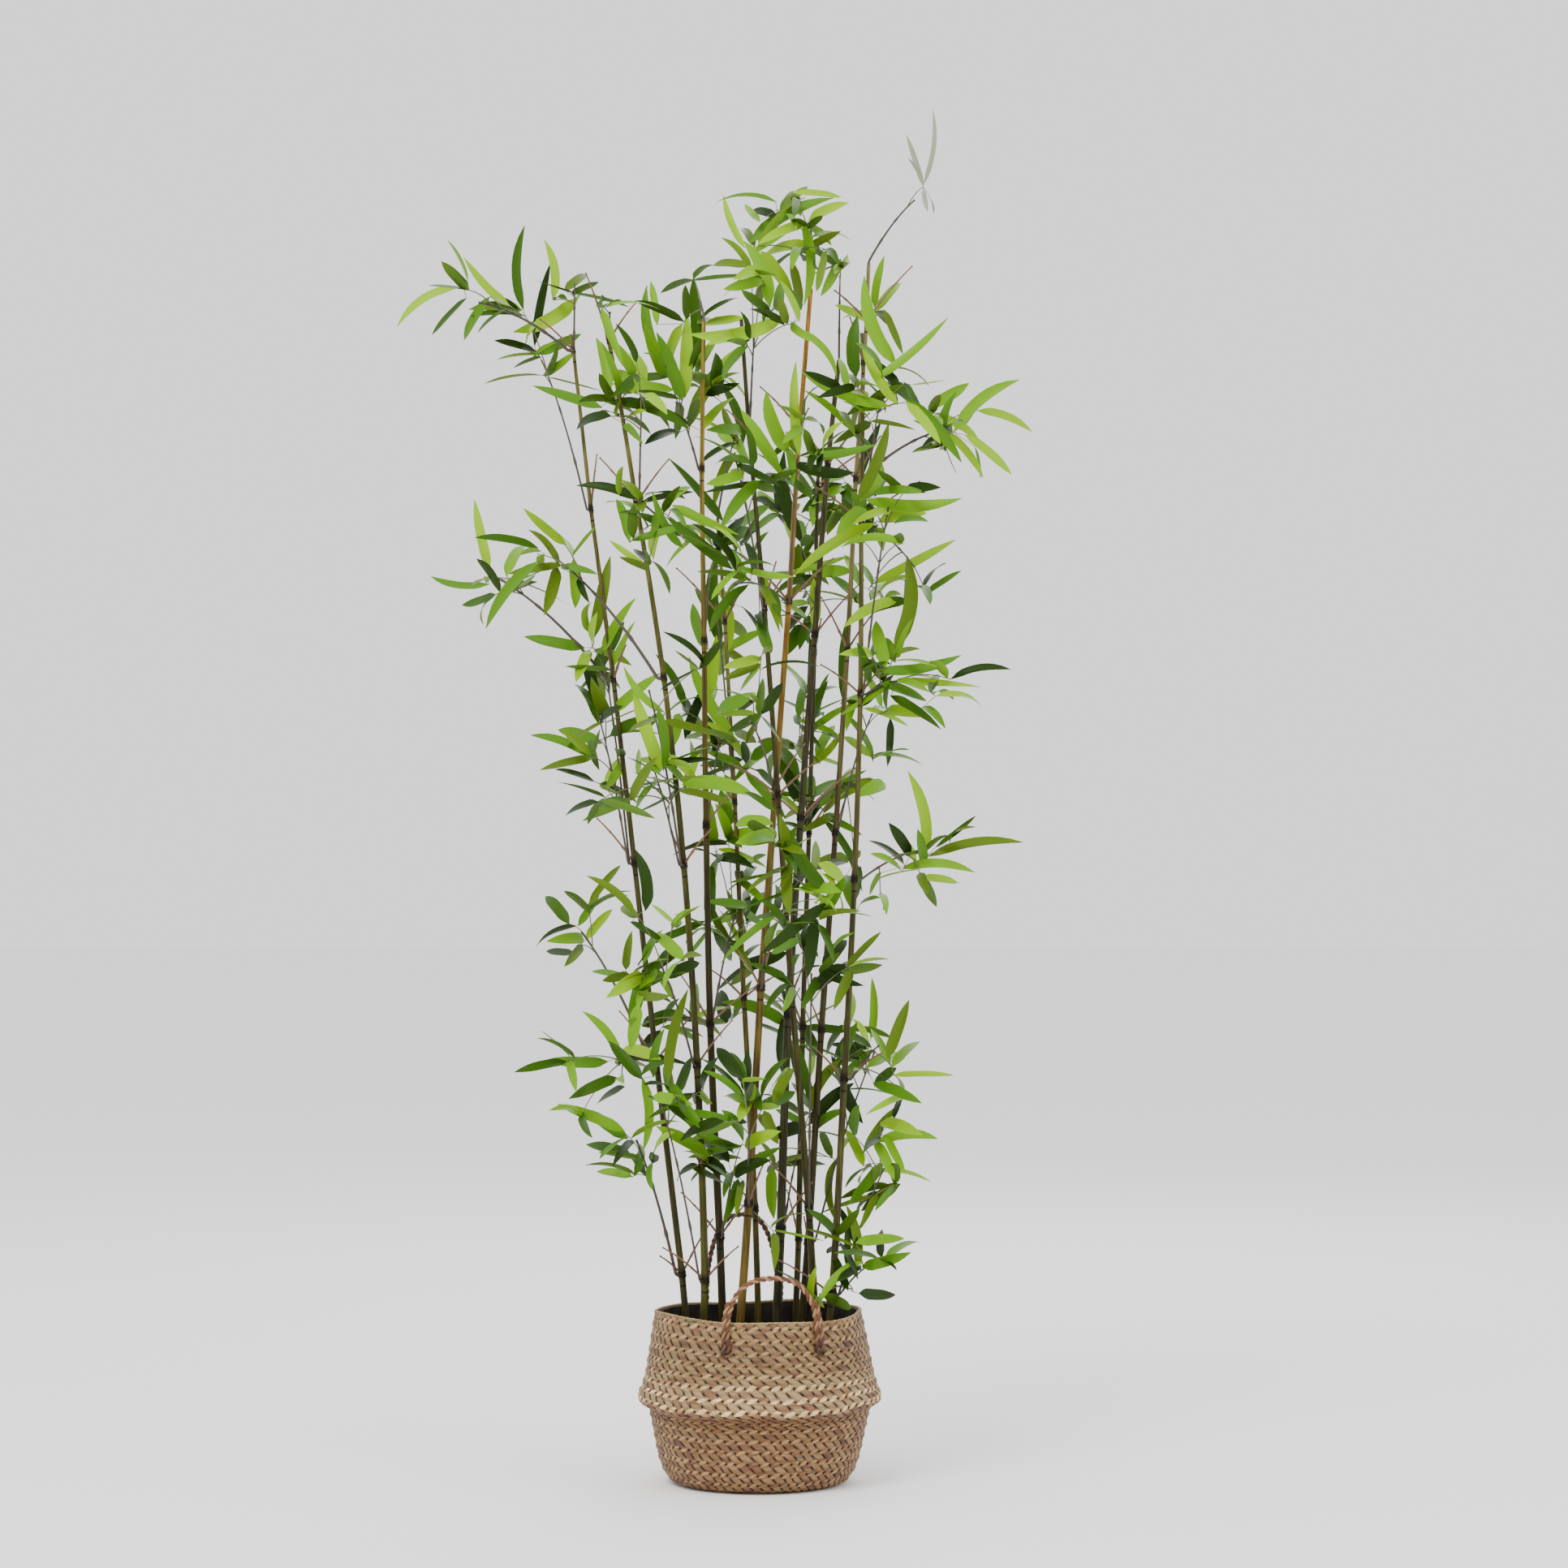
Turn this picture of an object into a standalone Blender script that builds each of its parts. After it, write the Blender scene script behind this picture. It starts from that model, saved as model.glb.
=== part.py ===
"""A potted bamboo, 1.8 m tall, in metres with +Z up.

Ten thin ringed canes stand in a filled, woven belly basket that has two rope handles.
Twigs spring from the canes' rings, and each carries its fans of narrow leaves.
The origin is the centre of the basket's flat underside, and -Y is the front.
"""

import math
import random

import bmesh
import bpy
from mathutils import Matrix, Vector
from mathutils.bvhtree import BVHTree

UP = Vector((0.0, 0.0, 1.0))

# Clearance between neighbouring pieces
GAP = 0.0003

# Basket: (radius, height) of its outer side, from the rim down to the middle of its floor
RIM_RADIUS = 0.134
RIM_HEIGHT = 0.224
SHOULDER = (0.144, 0.166)
ABOVE_FOLD = (0.149, 0.136)
FOLD = (0.158, 0.118)
TUCK = (0.1445, 0.104)
LOWER_WALL = (0.136, 0.063)
LOWER_CURVE = (0.125, 0.019)
CORNER = (0.117, 0.007)
FOOT_RADIUS = 0.107
BASKET_WALL = 0.005
TURN_STEPS = 30

# Fill inside the basket, that the canes stand on
FILL_TOP = 0.170
FILL_TOP_RADIUS = 0.1435

# Rope handles: bearing of the middle, half width, rise above the holes in the wall
HANDLE_HOLE_HEIGHT = 0.187
HANDLE_ROPE = 0.0048
HANDLE_LEG_ROPE = 0.0066
HANDLE_LEG_TOP = 0.246
HANDLE_SQUARENESS = 2.6
HANDLE_POINTS = 20
HANDLE_WALL_SLOPE = math.atan2(SHOULDER[0] - RIM_RADIUS, RIM_HEIGHT - SHOULDER[1])
HANDLES = {
    "handle_front": (-82.0, 0.061, 0.093),
    "handle_back": (100.0, 0.050, 0.152),
}

# Canes: foot (x, y), top (x, y, z), sideways bow, radius at the foot, first ring above the fill.
# They are lettered from left to right at the foot, as seen from the front.
CANES = {
    "a": ((-0.092, 0.020), (-0.249, 0.040, 1.509), 0.003, 0.0046, 0.10),
    "b": ((-0.072, -0.050), (-0.200, -0.095, 1.516), 0.036, 0.0052, 0.10),
    "c": ((-0.046, 0.015), (-0.072, -0.010, 1.521), -0.010, 0.0054, 0.15),
    "d": ((-0.027, -0.066), (0.068, -0.035, 1.560), -0.002, 0.0056, 0.20),
    "e": ((0.000, 0.070), (-0.056, 0.150, 1.271), 0.004, 0.0044, 0.18),
    "f": ((0.022, 0.000), (0.106, 0.075, 1.478), -0.012, 0.0062, 0.16),
    "g": ((0.077, 0.002), (-0.022, -0.120, 1.513), 0.002, 0.0050, 0.19),
    "h": ((0.047, 0.085), (0.081, 0.180, 1.361), 0.000, 0.0044, 0.14),
    "j": ((0.053, 0.040), (0.145, 0.045, 1.602), 0.004, 0.0050, 0.14),
    "k": ((0.088, -0.045), (0.135, -0.010, 1.506), 0.015, 0.0050, 0.08),
}
CANE_TIP_SHARE = 0.5
RING_PITCH = 0.28
RING_PITCH_SHRINK = 0.93
RING_SWELL = 1.4
RING_HALF_HEIGHT = 0.004
RING_KINK = 0.0015
TOP_CLEARANCE = 0.020
FOOT_STUB = 0.005
GOLDEN_ANGLE = math.radians(137.5)

# Sprays: cane, ring it springs from (TOP is the cane's tip), middle of its leaves, leaf count
TOP = -1
SPRAYS = {
    "a1": ("a", 0, (-0.160, -0.020, 0.450), 8),
    "a2": ("a", 1, (-0.185, -0.010, 0.550), 8),
    "a3": ("a", 1, (-0.235, 0.050, 0.720), 8),
    "a4": ("a", 2, (-0.212, 0.020, 1.010), 11),
    "a6": ("a", 3, (-0.350, 0.050, 1.190), 10),
    "a7": ("a", 4, (-0.290, 0.100, 1.480), 8),
    "a8": ("a", 5, (-0.366, -0.020, 1.545), 10),
    "b1": ("b", 0, (-0.125, -0.120, 0.505), 8),
    "b2": ("b", 1, (-0.125, -0.160, 0.685), 9),
    "b3": ("b", 2, (-0.140, -0.120, 0.950), 11),
    "b5": ("b", 3, (-0.265, -0.050, 1.210), 8),
    "b6": ("b", 4, (-0.118, -0.170, 1.240), 10),
    "b8": ("b", 5, (-0.190, -0.140, 1.540), 10),
    "c2": ("c", 1, (-0.120, 0.100, 0.620), 9),
    "c3": ("c", 1, (-0.030, 0.145, 0.745), 9),
    "c5": ("c", 3, (-0.070, 0.110, 1.200), 10),
    "c6": ("c", 4, (-0.125, 0.030, 1.400), 10),
    "c7": ("c", TOP, (-0.080, 0.060, 1.570), 10),
    "d1": ("d", 0, (-0.020, -0.145, 0.460), 8),
    "d2": ("d", 1, (0.020, -0.200, 0.755), 10),
    "d3": ("d", 2, (-0.010, -0.200, 0.995), 10),
    "d5": ("d", 3, (0.050, -0.170, 1.320), 10),
    "d6": ("d", TOP, (0.070, -0.020, 1.640), 11),
    "e1": ("e", 2, (-0.060, 0.240, 1.150), 10),
    "f1": ("f", 0, (0.050, 0.070, 0.430), 8),
    "f2": ("f", 2, (0.130, 0.150, 0.950), 10),
    "g3": ("g", 4, (-0.010, -0.190, 1.460), 10),
    "h1": ("h", 1, (0.026, 0.200, 0.640), 9),
    "h2": ("h", 2, (0.054, 0.260, 0.970), 10),
    "h3": ("h", 3, (0.076, 0.260, 1.300), 10),
    "j3": ("j", 4, (0.250, 0.120, 1.390), 10),
    "j4": ("j", 5, (0.178, 0.110, 1.550), 9),
    "j5": ("j", TOP, (0.205, 0.020, 1.684), 8),
    "k1": ("k", 0, (0.143, -0.060, 0.290), 8),
    "k2": ("k", 0, (0.170, 0.010, 0.422), 8),
    "k3": ("k", 1, (0.156, -0.020, 0.590), 10),
    "k4": ("k", 2, (0.218, 0.000, 0.840), 9),
    "k5": ("k", 3, (0.185, -0.060, 1.060), 10),
    "k6": ("k", 4, (0.190, -0.050, 1.280), 11),
}
BOUGHS = ("a1", "a3", "a6", "a8", "b5", "j3")
BOUGH_SHARE = 0.6
BOUGH_RADII = (0.0021, 0.0015)

# Growth rule of a spray: stem, side twigs, then fans of leaves
SEED = 17
STEM_RADII = (0.0018, 0.0015)
STEM_STUB = 0.005
OUTSIDE_CANE = 0.020
SEAT_RAYS = 8
STEM_ARCH = 0.07
STEM_STEPS = 4
SIDE_TWIGS = (0.55, 0.82)
SIDE_TWIG_LENGTH = (0.030, 0.055)
SIDE_TWIG_TURN = (math.radians(35), math.radians(65))
SIDE_TWIG_ROLL = math.radians(35)
TWIG_RADII = (0.0016, 0.0014)
TWIG_SIDES = 3
FAN_SPREAD = math.radians(150)
FAN_PITCH = 0.0035
DROOP = (0.0, 0.30)
LEAF_TILT = 0.5
LEAF_LENGTH = (0.085, 0.118)
LEAF_WIDTH_SHARE = 0.18
LEAF_THICKNESS = 0.0014
LEAF_WIDEST_AT = 0.28
LEAF_RIDGE_AT = 0.09
LEAF_ARCH = 0.02
LEAF_APART = 0.010
LEAF_CLEARANCE = 0.0012
SPACE_RADIUS = 0.150
OWN_POINT = 0.6
TRIES_PER_LEAF = 40


def make_material(name, colour, roughness):
    material = bpy.data.materials.new(name)
    material.use_nodes = True
    material.diffuse_color = (*colour, 1.0)
    shader = material.node_tree.nodes["Principled BSDF"]
    shader.inputs["Base Color"].default_value = (*colour, 1.0)
    shader.inputs["Roughness"].default_value = roughness
    shader.inputs["Metallic"].default_value = 0.0
    return material


def clear_scene():
    for obj in list(bpy.data.objects):
        bpy.data.objects.remove(obj, do_unlink=True)


def add_object(name, data, material, collection):
    data.materials.append(material)
    obj = bpy.data.objects.new(name, data)
    collection.objects.link(obj)
    return obj


def new_mesh(name, body):
    mesh = bpy.data.meshes.new(name)
    body.to_mesh(mesh)
    body.free()
    return mesh


# Basket and fill


def basket_profile():
    return [
        (RIM_RADIUS, RIM_HEIGHT),
        SHOULDER,
        ABOVE_FOLD,
        FOLD,
        TUCK,
        LOWER_WALL,
        LOWER_CURVE,
        CORNER,
        (FOOT_RADIUS, 0.0),
        (0.0, 0.0),
    ]


def wall_radius(height):
    """Outer radius of the basket's wall at a height, carried on past the rim."""
    points = basket_profile()[:3]
    upper, lower = (points[0], points[1]) if height > points[1][1] else (points[1], points[2])
    share = (height - lower[1]) / (upper[1] - lower[1])
    return lower[0] + (upper[0] - lower[0]) * share


def inset(points, distance):
    """Moves a profile that runs down its outer side inwards, with mitred corners."""
    moved = []
    for index, (radius, height) in enumerate(points):
        normals = []
        for start, end in ((index - 1, index), (index, index + 1)):
            if start < 0 or end >= len(points):
                continue
            run = Vector(points[end]) - Vector(points[start])
            normals.append(Vector((run.y, -run.x)).normalized())
        total = normals[0] + normals[-1]
        shift = total * (distance / (1.0 + normals[0].dot(normals[-1])))
        moved.append((max(radius + shift.x, 0.0), height + shift.y))
    return moved


def turned(name, profile, material, collection):
    """An object turned from a profile that runs top to bottom on its outer side."""
    body = bmesh.new()
    corners = [body.verts.new((radius, 0.0, height)) for radius, height in profile]
    for start, end in zip(corners, corners[1:]):
        body.edges.new((start, end))
    obj = add_object(name, new_mesh(name, body), material, collection)
    screw = obj.modifiers.new("turn", "SCREW")
    screw.steps = TURN_STEPS
    screw.render_steps = TURN_STEPS
    screw.use_merge_vertices = True
    screw.merge_threshold = 0.0001
    return obj


def make_basket(collection):
    straw = make_material("seagrass", (0.45, 0.30, 0.17), 0.8)
    basket = turned("basket", basket_profile(), straw, collection)
    wall = basket.modifiers.new("wall", "SOLIDIFY")
    wall.thickness = BASKET_WALL
    wall.offset = -1.0
    wall.use_even_offset = True
    return basket


def make_fill(collection):
    dark = make_material("dark_fill", (0.03, 0.025, 0.02), 0.95)
    side = [
        (FILL_TOP_RADIUS, FILL_TOP),
        TUCK,
        LOWER_WALL,
        LOWER_CURVE,
        CORNER,
        (FOOT_RADIUS, 0.0),
        (0.0, 0.0),
    ]
    side = inset(side, BASKET_WALL + GAP)
    side[0] = (side[0][0], FILL_TOP)
    return turned("fill", [(0.0, FILL_TOP)] + side, dark, collection)


# Tubes


def tube(name, path, material, collection, resolution=1):
    """A curve through (point, radius) pairs, with filled ends."""
    curve = bpy.data.curves.new(name, "CURVE")
    curve.dimensions = "3D"
    curve.bevel_depth = 1.0
    curve.bevel_resolution = resolution
    curve.use_fill_caps = True
    spline = curve.splines.new("POLY")
    spline.points.add(len(path) - 1)
    for knot, (point, radius) in zip(spline.points, path):
        knot.co = (*point, 1.0)
        knot.radius = radius
    return add_object(name, curve, material, collection)


def handle_path(bearing, half_width, rise):
    """A rope arch that lies on the wall below the rim and stands up straight above it."""
    outwards = Vector((math.cos(math.radians(bearing)), math.sin(math.radians(bearing)), 0.0))
    along = Vector((-outwards.y, outwards.x, 0.0))
    power = 2.0 / HANDLE_SQUARENESS
    path = []
    for index in range(HANDLE_POINTS + 1):
        turn = math.pi * index / HANDLE_POINTS
        side = -math.copysign(abs(math.cos(turn)) ** power, math.cos(turn)) * half_width
        height = HANDLE_HOLE_HEIGHT + rise * max(math.sin(turn), 0.0) ** power
        radius = HANDLE_LEG_ROPE if height < HANDLE_LEG_TOP else HANDLE_ROPE
        lying = min(height, RIM_HEIGHT)
        reach = wall_radius(lying) + HANDLE_LEG_ROPE / math.cos(HANDLE_WALL_SLOPE) + 2.0 * GAP
        bend = half_width if height > RIM_HEIGHT else abs(side)
        depth = math.sqrt(reach**2 - bend**2)
        point = outwards * depth + along * side + UP * height
        path.append((point, radius))
    return path


def make_handles(collection):
    rope = make_material("twisted_rope", (0.42, 0.20, 0.09), 0.8)
    return [
        tube(name, handle_path(*sizes), rope, collection, resolution=2)
        for name, sizes in HANDLES.items()
    ]


# Canes


def ring_heights(cane):
    top = CANES[cane][1][2]
    heights = []
    height = FILL_TOP + CANES[cane][4]
    pitch = RING_PITCH
    while height < top - TOP_CLEARANCE:
        heights.append(height)
        height += pitch
        pitch *= RING_PITCH_SHRINK
    return heights


def cane_point(cane, height):
    """The middle of a cane at a height: a straight lean with one slight bow."""
    foot, top, bow, _, _ = CANES[cane]
    share = (height - FILL_TOP) / (top[2] - FILL_TOP)
    x = foot[0] + (top[0] - foot[0]) * share + bow * 4.0 * share * (1.0 - share)
    y = foot[1] + (top[1] - foot[1]) * share
    return Vector((x, y, height))


def cane_radius(cane, height):
    _, top, _, radius, _ = CANES[cane]
    share = (height - FILL_TOP) / (top[2] - FILL_TOP)
    return radius * (1.0 - (1.0 - CANE_TIP_SHARE) * share)


def ring_point(cane, index):
    """The middle of a ring, where the cane turns by a slight kink."""
    turn = GOLDEN_ANGLE * index
    kink = Vector((math.cos(turn), math.sin(turn), 0.0)) * RING_KINK
    return cane_point(cane, ring_heights(cane)[index]) + kink


def cane_path(cane):
    foot_height = FILL_TOP + GAP
    foot = cane_point(cane, foot_height)
    path = [(foot, cane_radius(cane, foot_height))]
    path.append((foot + UP * FOOT_STUB, cane_radius(cane, foot_height)))
    for index in range(len(ring_heights(cane))):
        middle = ring_point(cane, index)
        radius = cane_radius(cane, middle.z)
        for step, swell in ((-1, 1.0), (0, RING_SWELL), (1, 1.0)):
            shift = cane_point(cane, middle.z + step * RING_HALF_HEIGHT) - cane_point(cane, middle.z)
            path.append((middle + shift, radius * swell))
    top = cane_point(cane, CANES[cane][1][2])
    path.append((top, cane_radius(cane, top.z)))
    return path


def make_canes(collection):
    bark = make_material("cane", (0.20, 0.15, 0.07), 0.5)
    return [tube(f"cane_{name}", cane_path(name), bark, collection) for name in CANES]


# Sprays


def arched(start, end, steps):
    """Points from start to end along a low arch."""
    lift = UP * (STEM_ARCH * (end - start).length)
    points = []
    for index in range(steps + 1):
        share = index / steps
        points.append(start.lerp(end, share) + lift * (4.0 * share * (1.0 - share)))
    return points


def clear_start(tree, root, outwards):
    """The point just clear of a cane's side, straight out from the middle of a ring."""
    across = outwards.cross(UP) * BOUGH_RADII[0]
    reach = 0.0
    for step in range(-SEAT_RAYS, SEAT_RAYS + 1):
        outside = root + outwards * OUTSIDE_CANE + across * (step / SEAT_RAYS)
        hit = tree.ray_cast(outside, -outwards)[0]
        reach = max(reach, (hit - root).dot(outwards))
    return root + outwards * (reach + GAP)


def spray_route(name, cane_trees):
    """Where a spray's limb leaves its cane, and its arch up to the middle of its leaves."""
    cane, ring, middle, _ = SPRAYS[name]
    middle = Vector(middle)
    if ring == TOP:
        start = cane_point(cane, CANES[cane][1][2]) + UP * GAP
        stub = UP * STEM_STUB
    else:
        root = ring_point(cane, ring)
        outwards = Vector((middle.x - root.x, middle.y - root.y, 0.0)).normalized()
        start = clear_start(cane_trees[cane], root, outwards)
        stub = outwards * STEM_STUB
    return [start] + arched(start + stub, middle, STEM_STEPS)


def ring_of(point, direction, radius):
    """Corners of a twig's cross-section."""
    across = direction.orthogonal().normalized()
    other = direction.cross(across).normalized()
    corners = []
    for index in range(TWIG_SIDES):
        turn = 2.0 * math.pi * index / TWIG_SIDES
        corners.append(point + (across * math.cos(turn) + other * math.sin(turn)) * radius)
    return corners


def twig_body(path, radii):
    """A three-sided tapering twig, extruded along its path."""
    body = bmesh.new()
    steps = len(path) - 1
    direction = (path[1] - path[0]).normalized()
    first = bmesh.ops.create_circle(body, cap_ends=True, segments=TWIG_SIDES, radius=1.0)["verts"]
    for corner, place in zip(first, ring_of(path[0], direction, radii[0])):
        corner.co = place
    face = body.faces[:][0]
    for index in range(1, steps + 1):
        direction = (path[min(index + 1, steps)] - path[index - 1]).normalized()
        radius = radii[0] + (radii[1] - radii[0]) * index / steps
        grown = bmesh.ops.extrude_face_region(body, geom=[face])["geom"]
        if index > 1:
            bmesh.ops.delete(body, geom=[face], context="FACES_ONLY")
        corners = [item for item in grown if isinstance(item, bmesh.types.BMVert)]
        face = next(item for item in grown if isinstance(item, bmesh.types.BMFace))
        for corner in corners:
            spoke = corner.co - path[index - 1]
            spoke = (spoke - direction * spoke.dot(direction)).normalized()
            corner.co = path[index] + spoke * radius
    bmesh.ops.recalc_face_normals(body, faces=body.faces[:])
    return body


def leaf_body(root, heading, over, length, extra=0.0):
    """A leaf of eight faces: an octahedron drawn out to a root, a tip, two edges and a ridge."""
    over = (over - heading * over.dot(heading)).normalized()
    side = over.cross(heading)
    body = bmesh.new()
    bmesh.ops.create_uvsphere(body, u_segments=4, v_segments=2, radius=1.0)
    half_width = length * LEAF_WIDTH_SHARE * 0.5 + extra
    half_thickness = LEAF_THICKNESS * 0.5 + extra
    arch = length * LEAF_ARCH
    for corner in body.verts:
        x, y, z = corner.co
        if z > 0.5:
            corner.co = root + heading * length - over * arch
        elif z < -0.5:
            corner.co = root
        elif abs(x) > 0.5:
            corner.co = root + heading * (length * LEAF_WIDEST_AT) + side * (x * half_width)
        else:
            ridge = over * (arch * 0.5 + y * half_thickness)
            corner.co = root + heading * (length * LEAF_RIDGE_AT) + ridge
    return body


def tree_of(body):
    return BVHTree.FromBMesh(body)


def clear_of(body, others):
    tree = tree_of(body)
    return not any(tree.overlap(other) for other in others)


class Growth:
    """Grows the sprays one after another, each clear of the limbs and of those before it."""

    def __init__(self, obstacles, routes):
        self.obstacles = obstacles
        self.middles = {name: Vector(row[2]) for name, row in SPRAYS.items()}
        self.stems = {name: twig_body(route, STEM_RADII) for name, route in routes.items()}

    def clear(self, name, body):
        others = [tree_of(stem) for other, stem in self.stems.items() if other != name]
        return clear_of(body, self.obstacles + others)

    def in_space(self, name, hub, tip):
        """Within reach of the spray's own middle, and nearer to it than to any other."""
        if (tip - self.middles[name]).length > SPACE_RADIUS:
            return False
        point = hub.lerp(tip, OWN_POINT)
        nearest = min(self.middles, key=lambda other: (point - self.middles[other]).length)
        return nearest == name

    def fan(self, name, twig_end, axis, count, grown, rng):
        """Leaves spread like an open hand over the end of a twig, each with its own root."""
        leaves = []
        for _ in range(count * TRIES_PER_LEAF):
            if len(leaves) == count:
                break
            normal = axis.orthogonal().normalized()
            normal = Matrix.Rotation(rng.uniform(0.0, math.tau), 3, axis) @ normal
            heading = Matrix.Rotation(rng.uniform(-0.5, 0.5) * FAN_SPREAD, 3, normal) @ axis
            heading.z -= rng.uniform(*DROOP)
            heading.normalize()
            length = rng.uniform(*LEAF_LENGTH)
            tilt = (rng.uniform(-LEAF_TILT, LEAF_TILT), rng.uniform(-LEAF_TILT, LEAF_TILT))
            over = Vector((*tilt, 1.0))
            root = twig_end - axis * (FAN_PITCH * (len(leaves) + 0.5))
            if not self.in_space(name, root, root + heading * length):
                continue
            rough = leaf_body(root, heading, over, length, LEAF_CLEARANCE)
            apart = root + heading * LEAF_APART
            blade = leaf_body(apart, heading, over, length - LEAF_APART, LEAF_CLEARANCE)
            if self.clear(name, rough) and clear_of(blade, grown):
                leaves.append(leaf_body(root, heading, over, length))
                grown.append(tree_of(leaves[-1]))
            rough.free()
            blade.free()
        return leaves

    def side_twig(self, route, number, rng):
        """A straight twig that leaves the stem to one side, as its root, tip and axis."""
        place = SIDE_TWIGS[number] * (len(route) - 1)
        index = min(int(place), len(route) - 2)
        root = route[index].lerp(route[index + 1], place - index)
        along = (route[index + 1] - route[index]).normalized()
        turn = rng.uniform(*SIDE_TWIG_TURN)
        roll = math.pi * number + rng.uniform(-SIDE_TWIG_ROLL, SIDE_TWIG_ROLL)
        axis = Matrix.Rotation(turn, 3, along.cross(UP).normalized()) @ along
        axis = Matrix.Rotation(roll, 3, along) @ axis
        return root, root + axis * rng.uniform(*SIDE_TWIG_LENGTH), axis

    def spray(self, name, route):
        """The stem, and the twigs and leaves that grow on it."""
        rng = random.Random(SEED * 1000 + list(SPRAYS).index(name))
        stem = self.stems.pop(name)
        if not self.clear(name, stem):
            print(f"stem of {name} touches a neighbour")
        fans = [(route[-1], (route[-1] - route[-2]).normalized())]
        parts = []
        grown = [tree_of(stem)]
        for number in range(len(SIDE_TWIGS)):
            root, tip, axis = self.side_twig(route, number, rng)
            twig = twig_body([root, tip], TWIG_RADII)
            if self.clear(name, twig):
                parts.append(twig)
                grown.append(tree_of(twig))
                fans.append((tip, axis))
        left = SPRAYS[name][3]
        for number, (twig_end, axis) in enumerate(fans):
            count = math.ceil(left / (len(fans) - number))
            left -= count
            parts += self.fan(name, twig_end, axis, count, grown, rng)
        return stem, parts


def fused(name, stem, parts, material, collection):
    """One solid from a stem and the pieces grown on it."""
    spare = bpy.data.collections.new(f"{name}_pieces")
    bpy.context.scene.collection.children.link(spare)
    for index, body in enumerate(parts):
        add_object(f"{name}_piece_{index}", new_mesh(name, body), material, spare)
    obj = add_object(name, new_mesh(name, stem), material, collection)
    join = obj.modifiers.new("join", "BOOLEAN")
    join.operation = "UNION"
    join.solver = "MANIFOLD"
    join.operand_type = "COLLECTION"
    join.collection = spare
    graph = bpy.context.evaluated_depsgraph_get()
    solid = bpy.data.meshes.new_from_object(obj.evaluated_get(graph))
    obj.modifiers.remove(join)
    obj.data = solid
    for piece in list(spare.objects):
        bpy.data.objects.remove(piece, do_unlink=True)
    bpy.data.collections.remove(spare)
    return obj


def split_route(route):
    """A bough's part of the way to a spray, and the stem's part that goes on from its tip."""
    end = 1 + round(BOUGH_SHARE * (len(route) - 2))
    onwards = (route[end + 1] - route[end]).normalized()
    return route[: end + 1], [route[end] + onwards * GAP] + route[end + 1 :]


def make_bough(name, route, material, collection):
    thick, thin = BOUGH_RADII
    last = len(route) - 1
    path = [(point, thick + (thin - thick) * index / last) for index, point in enumerate(route)]
    return tube(f"bough_{name}", path, material, collection)


def world_tree(obj):
    return BVHTree.FromObject(obj, bpy.context.evaluated_depsgraph_get())


def main():
    clear_scene()
    collection = bpy.data.collections.new("potted_bamboo")
    bpy.context.scene.collection.children.link(collection)
    solids = [make_basket(collection), make_fill(collection)]
    solids += make_handles(collection)
    canes = make_canes(collection)
    solids += canes
    cane_trees = {name: world_tree(cane) for name, cane in zip(CANES, canes)}
    routes = {name: spray_route(name, cane_trees) for name in SPRAYS}
    twig = make_material("twig", (0.12, 0.09, 0.05), 0.6)
    for name in BOUGHS:
        bough, routes[name] = split_route(routes[name])
        solids.append(make_bough(name, bough, twig, collection))
    leaf = make_material("leaf", (0.12, 0.30, 0.05), 0.5)
    growth = Growth([world_tree(solid) for solid in solids], routes)
    for name, route in routes.items():
        stem, parts = growth.spray(name, route)
        mass = fused(f"leaves_{name}", stem, parts, leaf, collection)
        growth.obstacles.append(world_tree(mass))


main()
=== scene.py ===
"""Looks of a potted bamboo: woven belly basket, rope handles, ringed canes, twigs and leaves.

Sizes are in metres, +Z is up and -Y is the front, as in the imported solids.
"""

import math
import random
from collections import Counter

import bpy
import numpy as np
from mathutils import Matrix, Vector


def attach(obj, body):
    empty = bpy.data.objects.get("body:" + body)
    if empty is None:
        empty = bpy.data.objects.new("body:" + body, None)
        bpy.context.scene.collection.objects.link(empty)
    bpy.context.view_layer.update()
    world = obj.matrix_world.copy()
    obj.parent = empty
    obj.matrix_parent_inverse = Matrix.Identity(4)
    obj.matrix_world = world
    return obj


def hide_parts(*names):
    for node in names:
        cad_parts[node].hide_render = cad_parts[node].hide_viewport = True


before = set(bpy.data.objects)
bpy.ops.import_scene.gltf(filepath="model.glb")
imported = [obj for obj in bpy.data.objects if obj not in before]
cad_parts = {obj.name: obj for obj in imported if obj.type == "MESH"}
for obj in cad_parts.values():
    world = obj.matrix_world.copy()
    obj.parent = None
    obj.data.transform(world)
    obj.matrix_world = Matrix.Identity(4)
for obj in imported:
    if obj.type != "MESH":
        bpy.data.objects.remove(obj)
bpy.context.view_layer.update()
bpy.ops.object.select_all(action="DESELECT")

MM = 0.001
UP = Vector((0.0, 0.0, 1.0))
WHITE = (1.0, 1.0, 1.0)
SMOOTH_ANGLE = math.radians(60)
FINE_SMOOTH_ANGLE = math.radians(50)
WELD = 0.00001
SEAM_WELD = 0.00005

# Basket: (radius, height) of the weave's middle, from the rim to the foot
WALL = [
    (0.1335, 0.2240),
    (0.1385, 0.1980),
    (0.1435, 0.1700),
    (0.1472, 0.1480),
    (0.1518, 0.1320),
    (0.1567, 0.1220),
    (0.1585, 0.1178),
    (0.1570, 0.1128),
    (0.1500, 0.1075),
    (0.1437, 0.1035),
    (0.1400, 0.0850),
    (0.1355, 0.0610),
    (0.1310, 0.0380),
    (0.1245, 0.0180),
    (0.1165, 0.0075),
    (0.1070, 0.0030),
    (0.0960, 0.0026),
]
RIM_RADIUS, RIM_HEIGHT = WALL[0]
CORE_RADIUS = 0.05
FOOT_REACH = 0.02
STRANDS = 60
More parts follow.
